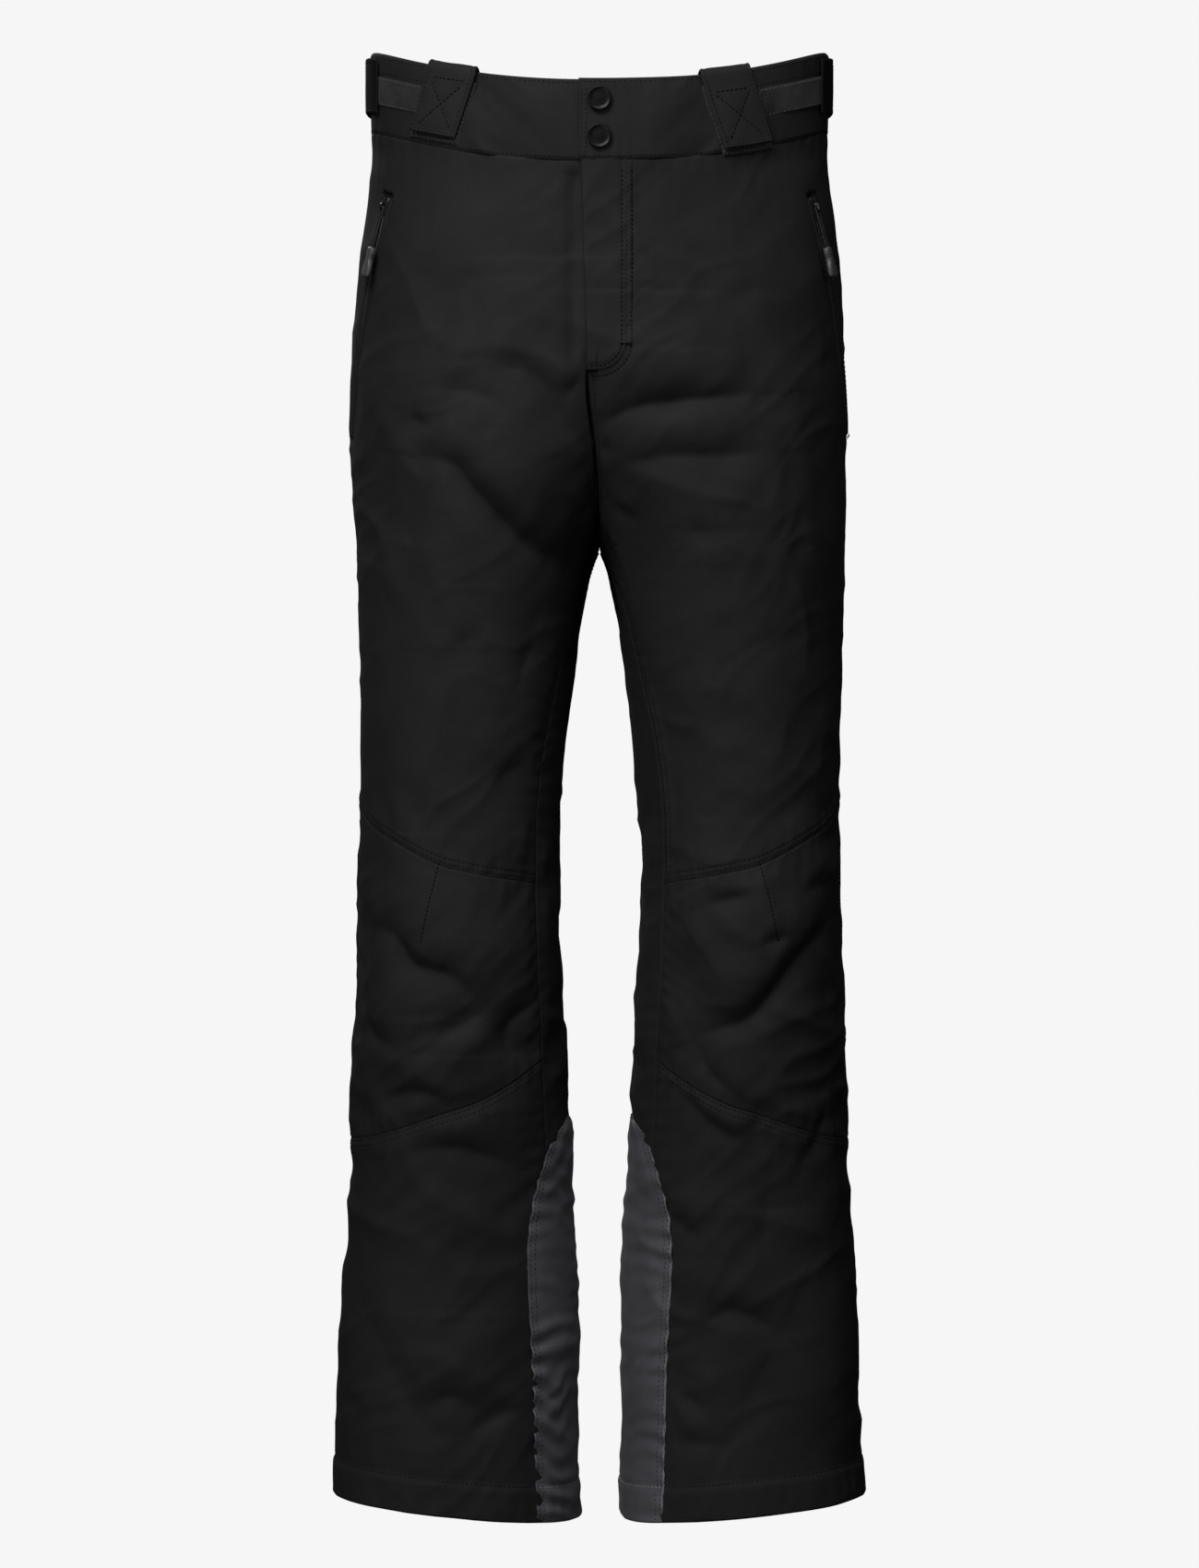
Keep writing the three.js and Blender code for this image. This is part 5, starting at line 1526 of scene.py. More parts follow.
@dataclass(frozen=True)
class Waistband:
    """The band's lengths and the tab that closes it, with their stitches.

    Attributes:
        third_line: how far below the top edge the third stitch line runs.
        third_from: how far from the middle it starts.
        seam_gap: half of the gap at the side seam, in degrees.
        thin_end: thickness of an end that is sewn in, as a share.
    """

    third_line: float = 14.0
    third_from: float = 112.0
    seam_gap: float = 0.2
    thin_end: float = 0.6

    def _half(self, angles: Array, hand: int, rise: Array, first: float = 1.0,
              last: float = 1.0) -> tuple[Array, Array]:
        """Places and directions of one half of the band's section, swept round the waist.

        Args:
            angles: angles round the waist.
            hand: 1 for the left half, -1 for the right.
            rise: how far each angle's section is lifted.
            first: how thick the first end is, as a share.
            last: how thick the last end is.

        Returns:
            Places and outward directions, sections by places in a section.
        """
        section = np.array(BAND.section())
        share, depth = section[:, 0][None, :], section[:, 1][None, :]
        a = angles[:, None]
        low, high = SHAPE.band_low_at(a), SHAPE.band_top_at(a)
        z = low + (high - low) * share
        base, normals = SHAPE.point(a, z), SHAPE.normal(a, z)
        flip = np.array([hand, 1, 1])
        front = (depth < 0.5) * 1.0
        height = BAND.height(share, base * flip) * front + rise[:, None] - depth
        ends = np.ones((len(angles), 1))
        ends[0], ends[-1] = first, last
        height = height * ends + (1 - ends) * (rise[:, None] - 1.5)
        return (base + normals * height[..., None]) * flip, normals * flip

    def _close(self, name: str, node: str, points: Array, normals: Array, hand: int,
               body: str, edge_stitches: bool = False) -> None:
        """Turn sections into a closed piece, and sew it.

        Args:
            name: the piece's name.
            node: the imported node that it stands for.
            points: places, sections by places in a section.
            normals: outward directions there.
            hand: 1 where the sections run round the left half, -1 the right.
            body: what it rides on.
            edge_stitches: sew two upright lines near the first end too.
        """
        rows, columns = points.shape[:2]
        faces = grid_faces(rows, columns, ring=True, flip=hand > 0)
        count = rows * columns
        caps = [list(range(count, count + columns)), list(range(count + columns, count + 2 * columns))[::-1]]
        if hand < 0:
            caps = [cap[::-1] for cap in caps]
        corners = np.concatenate([points.reshape(-1, 3), points[0], points[-1]])
        piece = mesh_object(name, corners, faces + caps, BAND_CLOTH)
        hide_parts(node)
        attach(piece, body)
        book = StitchBook(f"{name}_stitches")
        last = BAND.face_points
        face = np.array(BAND.section())[:last, 0]
        third = SHAPE.band_height - self.third_line
        for gap in (BAND.stitch_gap, SHAPE.band_height - BAND.stitch_gap, third):
            at = gap / SHAPE.band_height
            line = np.array([[np.interp(at, face, row[:last, k]) for k in range(3)] for row in points])
            seen = np.full(rows, True)
            if gap == third:
                seen = (np.abs(line[:, 0]) > self.third_from) & (line[:, 1] < 0)
            if seen.sum() > 2:
                book.sew(line[seen], normals[seen, last // 2])
        if edge_stitches:
            for row in (2, 5):
                book.sew(points[row, 1:last - 1], normals[row, 1:last - 1])
        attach(book.build(SEWING), body)

    def build(self) -> None:
        """Make the tab, the two front lengths and the back."""
        middle = np.array(float(SHAPE.band_top_at(np.array(90.0))) - SHAPE.band_height / 2)

        def at_x(x: float) -> float:
            """The angle of a place x from the middle."""
            return float(SHAPE.angle_at_x(np.array(x), middle))

        start, until = at_x(FLY.hinge - 0.1), at_x(FLY.fades_at)
        before, behind, thin = SHAPE.side_seam - self.seam_gap, SHAPE.side_seam + self.seam_gap, self.thin_end
        left = np.linspace(start, before, 110)
        rise = FLY.tab_lift * (1 - smoothstep(left, start, until))
        self._close("band_front_left", "waistband_front_left",
                    *self._half(left, 1, rise, last=thin), 1, "hips")
        tab = np.linspace(at_x(FLY.tab_left), at_x(FLY.hinge + 0.1), 30)
        lift = np.full(len(tab), FLY.tab_lift)
        self._close("band_tab", "waist_tab", *self._half(tab, 1, lift, first=0.5), 1, "waist_flap", True)
        right = np.linspace(180 - at_x(FLY.hinge - 3), before, 120)
        self._close("band_front_right", "waistband_front_right",
                    *self._half(right, -1, 0 * right, last=thin), -1, "hips")
        back = np.linspace(behind, 270, 90)
        points, normals = self._half(back, 1, 0 * back, first=thin)
        other, outward = self._half(back, -1, 0 * back, first=thin)
        points = np.concatenate([points, other[-2::-1]], axis=0)
        normals = np.concatenate([normals, outward[-2::-1]], axis=0)
        self._close("band_back", "waistband_back", points, normals, 1, "hips")
        LOG.info("built the waistband")


# ---- flat sewn pieces


class Patch:
    """A flat sewn piece with thickness, laid on any pair of functions."""

    def __init__(self, name: str, place: Place, width: float, height: float,
                 thickness: float = 1.6, step: float = 2.2) -> None:
        """Lay out the piece.

        Args:
            name: the piece's name.
            place: gives places and outward directions for across and up, in millimetres.
            width: its size across.
            height: its size up.
            thickness: of the cloth.
            step: spacing of the grid.
        """
        self.name = name
        self.size = (width, height)
        edge = np.array([0, 0.35, 0.9, 1.8])
        inner_u = np.linspace(3.0, width - 3.0, max(2, int((width - 6) / step) + 1))
        inner_v = np.linspace(3.0, height - 3.0, max(2, int((height - 6) / step) + 1))
        self.u = np.concatenate([edge, inner_u, width - edge[::-1]])
        self.v = np.concatenate([edge, inner_v, height - edge[::-1]])
        grid_u, grid_v = np.meshgrid(self.u, self.v)
        self.base, self.normals = place(grid_u, grid_v)
        gap = np.minimum(np.minimum(grid_u, width - grid_u), np.minimum(grid_v, height - grid_v))
        self.gap = gap
        bulge = thickness * np.sqrt(np.clip(1 - (1 - np.clip(gap / 1.2, 0, 1)) ** 2, 0, 1))
        self.front = bulge

    def dress(self, extra: Array) -> "Patch":
        """Add heights to the face."""
        self.front = self.front + extra * np.clip(self.gap / 2, 0, 1)
        return self

    def build(self, finish: Finish, body: str, node: Optional[str] = None,
              mirrored: bool = False) -> bpy.types.Object:
        """Make the closed mesh, ride it on a body and stand it for a node.

        Args:
            finish: what it is made of.
            body: what it rides on.
            node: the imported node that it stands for, if there is one.
            mirrored: the place function is a mirrored one.

        Returns:
            The piece.
        """
        outer = self.base + self.normals * self.front[..., None]
        rows, columns = outer.shape[:2]
        count = rows * columns
        points = np.concatenate([outer.reshape(-1, 3), self.base.reshape(-1, 3)])
        faces = grid_faces(rows, columns, flip=mirrored)
        faces += grid_faces(rows, columns, flip=not mirrored, start=count)
        rim = list(range(columns)) + [columns * (j + 1) - 1 for j in range(1, rows)]
        rim += [count - 1 - i for i in range(1, columns)] + [columns * j for j in range(rows - 2, 0, -1)]
        for a, b in zip(rim, rim[1:] + rim[:1]):
            faces.append((a, a + count, b + count, b) if not mirrored else (a, b, b + count, a + count))
        piece = mesh_object(self.name, points, faces, finish)
        if node:
            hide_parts(node)
        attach(piece, body)
        return piece

    def at(self, path: Sequence[tuple[float, float]], step: float = 1.0) -> tuple[Array, Array]:
        """Lay a line on the face.

        Args:
            path: its corners, as distances across and up.
            step: its spacing.

        Returns:
            Places and outward directions along it.
        """
        raw = np.array(path, float)
        run = np.concatenate([[0], np.cumsum(np.linalg.norm(np.diff(raw, axis=0), axis=1))])
        s = np.linspace(0, run[-1], max(2, int(run[-1] / step)))
        u, v = np.interp(s, run, raw[:, 0]), np.interp(s, run, raw[:, 1])
        i = np.interp(u, self.u, np.arange(len(self.u)))
        j = np.interp(v, self.v, np.arange(len(self.v)))
        i0 = np.clip(i.astype(int), 0, len(self.u) - 2)
        j0 = np.clip(j.astype(int), 0, len(self.v) - 2)
        fi, fj = (i - i0)[:, None], (j - j0)[:, None]
        face = self.base + self.normals * self.front[..., None]

        def mix(grid: Array) -> Array:
            """Blend the four nearest values of a grid."""
            low, high = [grid[j, i0] * (1 - fi) + grid[j, i0 + 1] * fi for j in (j0, j0 + 1)]
            return low * (1 - fj) + high * fj

        return mix(face), unit(mix(self.normals))


@dataclass(frozen=True)
class BandPlace:
    """A spot on the waistband for a flat piece.

    Attributes:
        start: angle of the piece's left edge.
        drop: how far its lower edge is below the band's top edge.
        lift: its height above the band.
        hand: 1 for the left side, -1 for the right.
        lean: how far the lower end leans towards the side, in millimetres a millimetre.
    """

    start: float
    drop: float
    lift: float
    hand: int
    lean: float = 0.0

    def __post_init__(self) -> None:
        """Measure the way round the band from the left edge."""
        angles = np.linspace(self.start - 30, self.start + 100, 400)
        middle = SHAPE.band_top_at(angles) - self.drop / 2
        gaps = np.linalg.norm(np.diff(SHAPE.point(angles, middle), axis=0), axis=1)
        run = np.concatenate([[0], np.cumsum(gaps)])
        run = run - np.interp(self.start, angles, run)
        object.__setattr__(self, "table", (run, angles))

    def width_to(self, angle: float) -> float:
        """How far it is round the band from the left edge to an angle."""
        run, angles = self.table
        return float(np.interp(angle, angles, run))

    def __call__(self, u: Array, v: Array) -> tuple[Array, Array]:
        """Find places for a flat piece.

        Args:
            u: distances across from its left edge.
            v: distances up from its lower edge.

        Returns:
            Places and outward directions.
        """
        run, angles = self.table
        angle = np.interp(u + self.lean * (self.drop - v), run, angles)
        z = SHAPE.band_top_at(angle) - self.drop + v
        flip = np.array([self.hand, 1, 1])
        normals = SHAPE.normal(angle, z)
        return (SHAPE.point(angle, z) + normals * self.lift) * flip, normals * flip


@dataclass(frozen=True)
class FoldedPlace:
    """A spot on the waistband for a strap that runs straight, then folds over the band's top edge."""

    outer: BandPlace
    straight: float
    radius: float

    def __call__(self, u: Array, v: Array) -> tuple[Array, Array]:
        """Find places for the strap.

        Args:
            u: distances across from its left edge.
            v: distances along it from its lower end, over the fold and down again.

        Returns:
            Places and outward directions.
        """
        base, normals = self.outer(u, np.minimum(v, self.straight))
        up = np.array([0.0, 0.0, 1.0])
        past = np.clip(v - self.straight, 0, None)
        turn = np.clip(past / self.radius, 0, math.pi)[..., None]
        rest = np.clip(past - self.radius * math.pi, 0, None)[..., None]
        centre = base - normals * self.radius
        outward = normals * np.cos(turn) + up * np.sin(turn)
        return centre + outward * self.radius - up * rest, outward


@dataclass(frozen=True)
class NodeFrame:
    """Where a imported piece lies: its middle, its directions and its size along each."""

    middle: Array
    along: Array
    across: Array
    out: Array
    size: Array

    @classmethod
    def of(cls, node: str, outward: Sequence[float]) -> "NodeFrame":
        """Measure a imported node.

        Args:
            node: its name.
            outward: roughly the direction that its flat face looks.

        Returns:
            Its frame, with its longest side along, pointing down.
        """
        points = np.array([v.co for v in frame["nodes"][node].data.vertices], float) / MM
        _, vectors = np.linalg.eigh(np.cov((points - points.mean(0)).T))
        out, along = vectors[:, 0], vectors[:, 2]
        out = out * np.sign(out @ np.array(outward, float))
        along = along * -np.sign(along[2])
        across = np.cross(out, along)
        spans = np.stack([along, across, out])
        local = points @ spans.T
        middle = (local.max(0) + local.min(0)) / 2 @ spans
        return cls(middle, along, across, out, local.max(0) - local.min(0))

    def place(self, local: Array) -> Array:
        """Places from distances along, across and out."""
        return self.middle + local @ np.stack([self.along, self.across, self.out])

    def flat(self, lift: float) -> Place:
        """Make a place function for a flat patch on this piece.

        Args:
            lift: how far the patch lies above the piece's middle plane.

        Returns:
            A function from distances across and up to places and outward directions.
        """

        def find(u: Array, v: Array) -> tuple[Array, Array]:
            """Find places for the patch."""
            local = np.stack([self.size[0] / 2 - v, u - self.size[1] / 2, np.full(u.shape, lift)], axis=-1)
            return self.place(local), np.broadcast_to(self.out, local.shape)

        return find


# ---- fly


@dataclass(frozen=True)
class Fly:
    """The flap over the front opening, and the zip, guard and press studs behind it.

    The flap's sewn side is tucked under the left cloth. A cap's profile is (radius, height).
    """

    tuck: float = 2.6
    tape_width: float = 11.0
    guard_thickness: float = 1.3
    cap_profile: tuple[tuple[float, float], ...] = (
        (8.6, 0.0), (8.65, 0.9), (8.5, 1.5), (8.15, 1.8), (7.8, 1.75), (7.5, 1.4), (7.1, 1.2),
        (5.2, 1.1), (3.0, 1.2), (1.2, 1.25),
    )
    cap_middle: float = 1.25

    def build(self) -> None:
        """Make every piece of the fly."""
        self._flap()
        self._zip()
        for name in ("upper", "lower"):
            self._cap(name)
        LOG.info("built the fly")

    def _flap(self) -> None:
        """The cloth flap, sewn down at its hinge side."""
        left = smooth_through([(-60, -13.4), (FLY.low, -9.0)])

        def start(z: Array) -> Array:
            """Angle of the free edge."""
            return SHAPE.angle_at_x(left(z), z)

        def end(z: Array) -> Array:
            """Angle of the sewn edge."""
            return SHAPE.angle_at_x(np.full(np.shape(z), FLY.hinge), z)

        spec = PanelSpec(
            "flap_cloth", ("fly_flap",), start, end, level(FLY.low - 1),
            lambda angle: SHAPE.band_low_at(angle) + 1.5,
            dict.fromkeys(("start", "end", "low", "high"), Edge.OPEN),
            raised=1.0, step=1.6, rise=FLY.rise, turned_start=True,
        )
        panel = Panel(spec, 1)
        inside = FLY.inside(panel.points)
        tucked = -self.tuck * (1 - smoothstep(inside, -0.8, 2.6)) * (1 - smoothstep(panel.z, -75, -66))
        seam = -0.9 * bell(inside - FLY.inner_line, 1.0)
        edge = -0.5 * bell(panel.gaps["start"], 1.2)
        panel.points = panel.points + panel.normals * (tucked + seam + edge)[..., None]
        piece = panel.build(SHELL)
        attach(piece, "waist_flap")
        book = StitchBook("flap_stitches")
        bold = Thread(length=3.0, pitch=3.4, radius=0.5, lift=0.2)
        book.sew(*panel.trace(FLY.path(FLY.inner_line)), bold)
        tacks = panel.trace(np.array([(FLY.hinge - 1.0, FLY.low + FLY.corner - 2), (-5.5, FLY.low + 1.5)]))
        for place, out in zip(*tacks):
            BarTack(8.5, 2.4).sew(book, place + out * 0.8, out, np.array([1.0, 0, 0]))
        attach(book.build(SEWING), "waist_flap")

    def _zip(self) -> None:
        """The straight zip and the guard behind it."""
        tape = NodeFrame.of("fly_zip_tape", (0, -1, 0))
        length = tape.size[0]
        run = np.linspace(-length / 2, length / 2, 90)
        path = tape.place(np.stack([run, 0 * run, 0 * run - 0.4], axis=-1))
        strip = ZipStrip("fly_zip", path, np.tile(tape.across, (90, 1)), np.tile(tape.out, (90, 1)),
                         self.tape_width)
        strip.build("fly_zip_tape", "hips")
        guard = NodeFrame.of("fly_underlap", (0, -1, 0))
        cover = Patch("fly_guard", guard.flat(-guard.size[2] / 2), guard.size[1], guard.size[0],
                      self.guard_thickness)
        cover.dress(0.5 * noise(cover.base, (14, 14, 30), 91)).build(LINING, "hips", "fly_underlap")

    def _cap(self, name: str) -> None:
        """A press stud's domed cap, on its own node's spot.

        Args:
            name: upper or lower.
        """
        node = NodeFrame.of(f"snap_cap_{name}", (0, -1, 0))
        low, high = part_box(f"snap_cap_{name}")
        middle = np.array((low + high) / 2) / MM
        out = unit(np.array([0.0, -1.0, 0.045]))
        side = np.array([1.0, 0.0, 0.0])
        up = np.cross(side, out)
        base = middle + out * (node.size.min() / 2 - 2.0)
        turns = np.radians(np.arange(0, 360, 6))
        points = [base + out * height + radius * (side * math.cos(t) + up * math.sin(t))
                  for radius, height in self.cap_profile for t in turns]
        points.append(base + out * self.cap_middle)
        rows, columns = len(self.cap_profile), len(turns)
        faces = grid_faces(rows, columns, ring=True, flip=True)
        last = (rows - 1) * columns
        faces += [(last + (k + 1) % columns, last + k, rows * columns) for k in range(columns)]
        faces.append(list(range(columns)))
        cap = mesh_object(f"stud_cap_{name}", np.array(points), faces, ENAMEL)
        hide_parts(f"snap_cap_{name}")
        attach(cap, "waist_flap")


@dataclass(frozen=True)
class BarTack:
    """A short, dense block of stitches that takes the strain at an end of an opening."""

    length: float
    width: float

    def sew(self, book: StitchBook, middle: Array, out: Array, along: Array) -> None:
        """Lay the block.

        Args:
            book: takes the stitches.
            middle: its middle.
            out: the outward direction there.
            along: the direction of its long side.
        """
        along = unit(along - out * (along @ out))
        across = np.cross(out, along)
        thread = Thread(length=self.width, pitch=self.width + 5, radius=0.42, lift=0.25)
        for place in np.arange(-self.length / 2, self.length / 2, 0.85):
            slope = 0.35 * math.sin(place * 3)
            ends = np.array([middle + along * (place - slope) - across * (self.width / 2 + 0.8),
                             middle + along * (place + slope) + across * (self.width / 2 + 0.8)])
            book.sew(ends, np.array([out, out]), thread)


# ---- zips and pockets


@dataclass(frozen=True)
class ZipStrip:
    """Two tapes with their coils, along a path with directions across and out."""

    name: str
    path: Array
    across: Array
    out: Array
    tape: float
    tooth_pitch: float = 1.35

    def build(self, node: str, body: str) -> None:
        """Make the tapes and the coils.

        Args:
            node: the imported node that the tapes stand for.
            body: what they ride on.
        """
        wide = self.tape + 0.6
        profile = np.array([(-wide, -0.1), (-wide + 1, 0.05), (-1.6, 0.1), (-0.3, 0.0), (0.3, 0.0),
                            (1.6, 0.1), (wide - 1, 0.05), (wide, -0.1)])
        across, out = profile[:, 0][None, :, None], profile[:, 1][None, :, None]
        points = self.path[:, None] + self.across[:, None] * across + self.out[:, None] * out
        faces = grid_faces(len(self.path), len(profile))
        tapes = mesh_object(f"{self.name}_tapes", points.reshape(-1, 3), faces, TAPE)
        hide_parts(node)
        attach(tapes, body)
        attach(self._coils(), body)

    def _coils(self) -> bpy.types.Object:
        """Make a row of coil turns on each tape, set half a turn apart.

        Returns:
            The piece.
        """
        gaps = np.linalg.norm(np.diff(self.path, axis=0), axis=1)
        run = np.concatenate([[0], np.cumsum(gaps)])
        points, faces = [], []
        shape = [(-0.5, 0.0), (-0.35, 0.75), (0.35, 0.75), (0.5, 0.0)]
        for hand in (-1, 1):
            for place in np.arange(2 + 0.34 * hand, run[-1] - 3, self.tooth_pitch):
                at, across, out = [np.array([np.interp(place, run, g[:, k]) for k in range(3)])
                                   for g in (self.path, self.across, self.out)]
                along = np.cross(across, out)
                s = len(points)
                for reach in (0.15, 1.75):
                    for step, height in shape:
                        points.append(at + across * hand * reach + along * step * 0.95
                                      + out * (0.15 + height * (1.0 if reach > 1 else 0.85)))
                faces += [(s + k, s + k + 1, s + k + 5, s + k + 4) for k in range(3)]
                faces += [(s, s + 3, s + 2, s + 1), (s + 4, s + 5, s + 6, s + 7)]
        return mesh_object(f"{self.name}_coils", np.array(points), faces, COIL)


@dataclass(frozen=True)
class Pocket:
    """A hand pocket's zip, with its piped lips, slider and pull.

    A lip's section is (across, out). The grip is (share of its length, share of its width).
    """

    hand: int
    sunk: float = 1.5
    tape_width: float = 3.4
    lip: tuple[tuple[float, float], ...] = (
        (2.5, -1.9), (2.3, -0.9), (2.5, 0.2), (3.1, 0.75), (4.0, 0.9), (5.2, 0.55), (6.4, -0.1),
        (7.4, -0.9),
    )
    line: float = 6.9
    grip: tuple[tuple[float, float], ...] = (
        (0, 0.5), (0.08, 0.68), (0.2, 0.74), (0.4, 0.62), (0.62, 0.95), (0.8, 1.04), (0.93, 0.95),
        (1.0, 0.62),
    )
    grip_ribs: int = 11

    @property
    def side(self) -> str:
        """The side's name."""
        return side_of(self.hand)

    @property
    def flip(self) -> Array:
        """What moves places from the left side to this one."""
        return np.array([self.hand, 1, 1])

    def build(self) -> None:
        """Make the pocket's pieces."""
        path = (POCKET.path - POCKET.out * self.sunk) * self.flip
        across, out = POCKET.across * self.flip * self.hand, POCKET.out * self.flip
        strip = ZipStrip(f"pocket_zip_{self.side}", path, across, out, self.tape_width)
        strip.build(f"pocket_zip_tape_{self.side}", "hips")
        self._lips()
        self._tacks()
        self._pull()
        LOG.info("built the %s pocket", self.side)

    def _lips(self) -> None:
        """The piped cloth at both sides of the zip, and its stitches."""
        points, faces, count = [], [], 0
        book = StitchBook(f"pocket_stitches_{self.side}")
        for hand in (-1, 1):
            profile = self.lip if hand > 0 else self.lip[::-1]
            across = np.array([p[0] * hand for p in profile])[None, :, None]
            out = np.array([p[1] for p in profile])[None, :, None]
            wave = 0.18 * noise(POCKET.path, (9, 9, 9), 60 + hand)[:, None, None]
            grid = POCKET.path[:, None] + POCKET.across[:, None] * across
            grid = (grid + POCKET.out[:, None] * (out + wave)) * self.flip
            rows, columns = grid.shape[:2]
            faces += grid_faces(rows, columns, flip=self.hand < 0, start=count)
            points.append(grid.reshape(-1, 3))
            count += rows * columns
            line = POCKET.path + POCKET.across * self.line * hand + POCKET.out * 0.1
            book.sew(line * self.flip, POCKET.out * self.flip)
        lips = mesh_object(f"pocket_lips_{self.side}", np.concatenate(points), faces, SHELL)
        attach(lips, "hips")
        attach(book.build(SEWING), "hips")

    def _tacks(self) -> None:
        """A bow-shaped bar tack above the zip and a straight one below it."""
        book = StitchBook(f"pocket_tacks_{self.side}")
        top = POCKET.path[0] + POCKET.out[0] * 1.1 - POCKET.along[0] * 3.5
        out = POCKET.out[0] * self.flip
        for turn in (-0.16, 0.16):
            along = (POCKET.across[0] + POCKET.along[0] * turn) * self.flip
            BarTack(12.5, 2.2).sew(book, top * self.flip, out, along)
        low = POCKET.path[-1] + POCKET.out[-1] * 1.1 + POCKET.along[-1] * 1.5
        out, along = POCKET.out[-1] * self.flip, POCKET.across[-1] * self.flip
        BarTack(12.0, 2.4).sew(book, low * self.flip, out, along)
        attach(book.build(SEWING), "hips")

    def _pull(self) -> None:
        """The moulded grip on its doubled cord."""
        node = f"pocket_pull_grip_{self.side}"
        grip = NodeFrame.of(node, (0.45 * self.hand, -0.9, 0))
        stations = smooth_through(self.grip)
        shares = np.concatenate([[0.0, 0.03], np.linspace(0.06, 0.95, 34), [0.98, 1.0]])
        turns = np.radians(np.arange(0, 360, 12))
        points = []
        for share in shares:
            wide = float(stations(np.array(share))) * grip.size[1] / 2 * 1.2
            round_off = math.sqrt(max(0.0, min(1.0, share / 0.06, (1 - share) / 0.07))) * 0.75 + 0.25
            groove = 0.5 + 0.5 * math.cos(share * 2 * math.pi * self.grip_ribs)
            rib = 1.0 - 0.10 * groove * (0.55 < share < 0.95)
            deep = grip.size[2] / 2 * round_off * rib
            for t in turns:
                c, s = math.cos(t), math.sin(t)
                across = wide * round_off * math.copysign(abs(c) ** 0.7, c)
                out = deep * math.copysign(abs(s) ** 0.7, s)
                points.append(grip.place(np.array([(share - 0.5) * grip.size[0], across, out])))
        rows, columns = len(shares), len(turns)
        handed = np.dot(np.cross(grip.across, grip.out), grip.along) > 0
        faces = grid_faces(rows, columns, ring=True, flip=not handed)
        caps = [list(range(columns))[::-1], list(range((rows - 1) * columns, rows * columns))]
        faces += caps if handed else [cap[::-1] for cap in caps]
        piece = mesh_object(f"zip_grip_{self.side}", np.array(points), faces, RUBBER)
        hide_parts(node)
        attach(piece, f"pocket_pull_{self.side}")


# ---- straps on the waistband


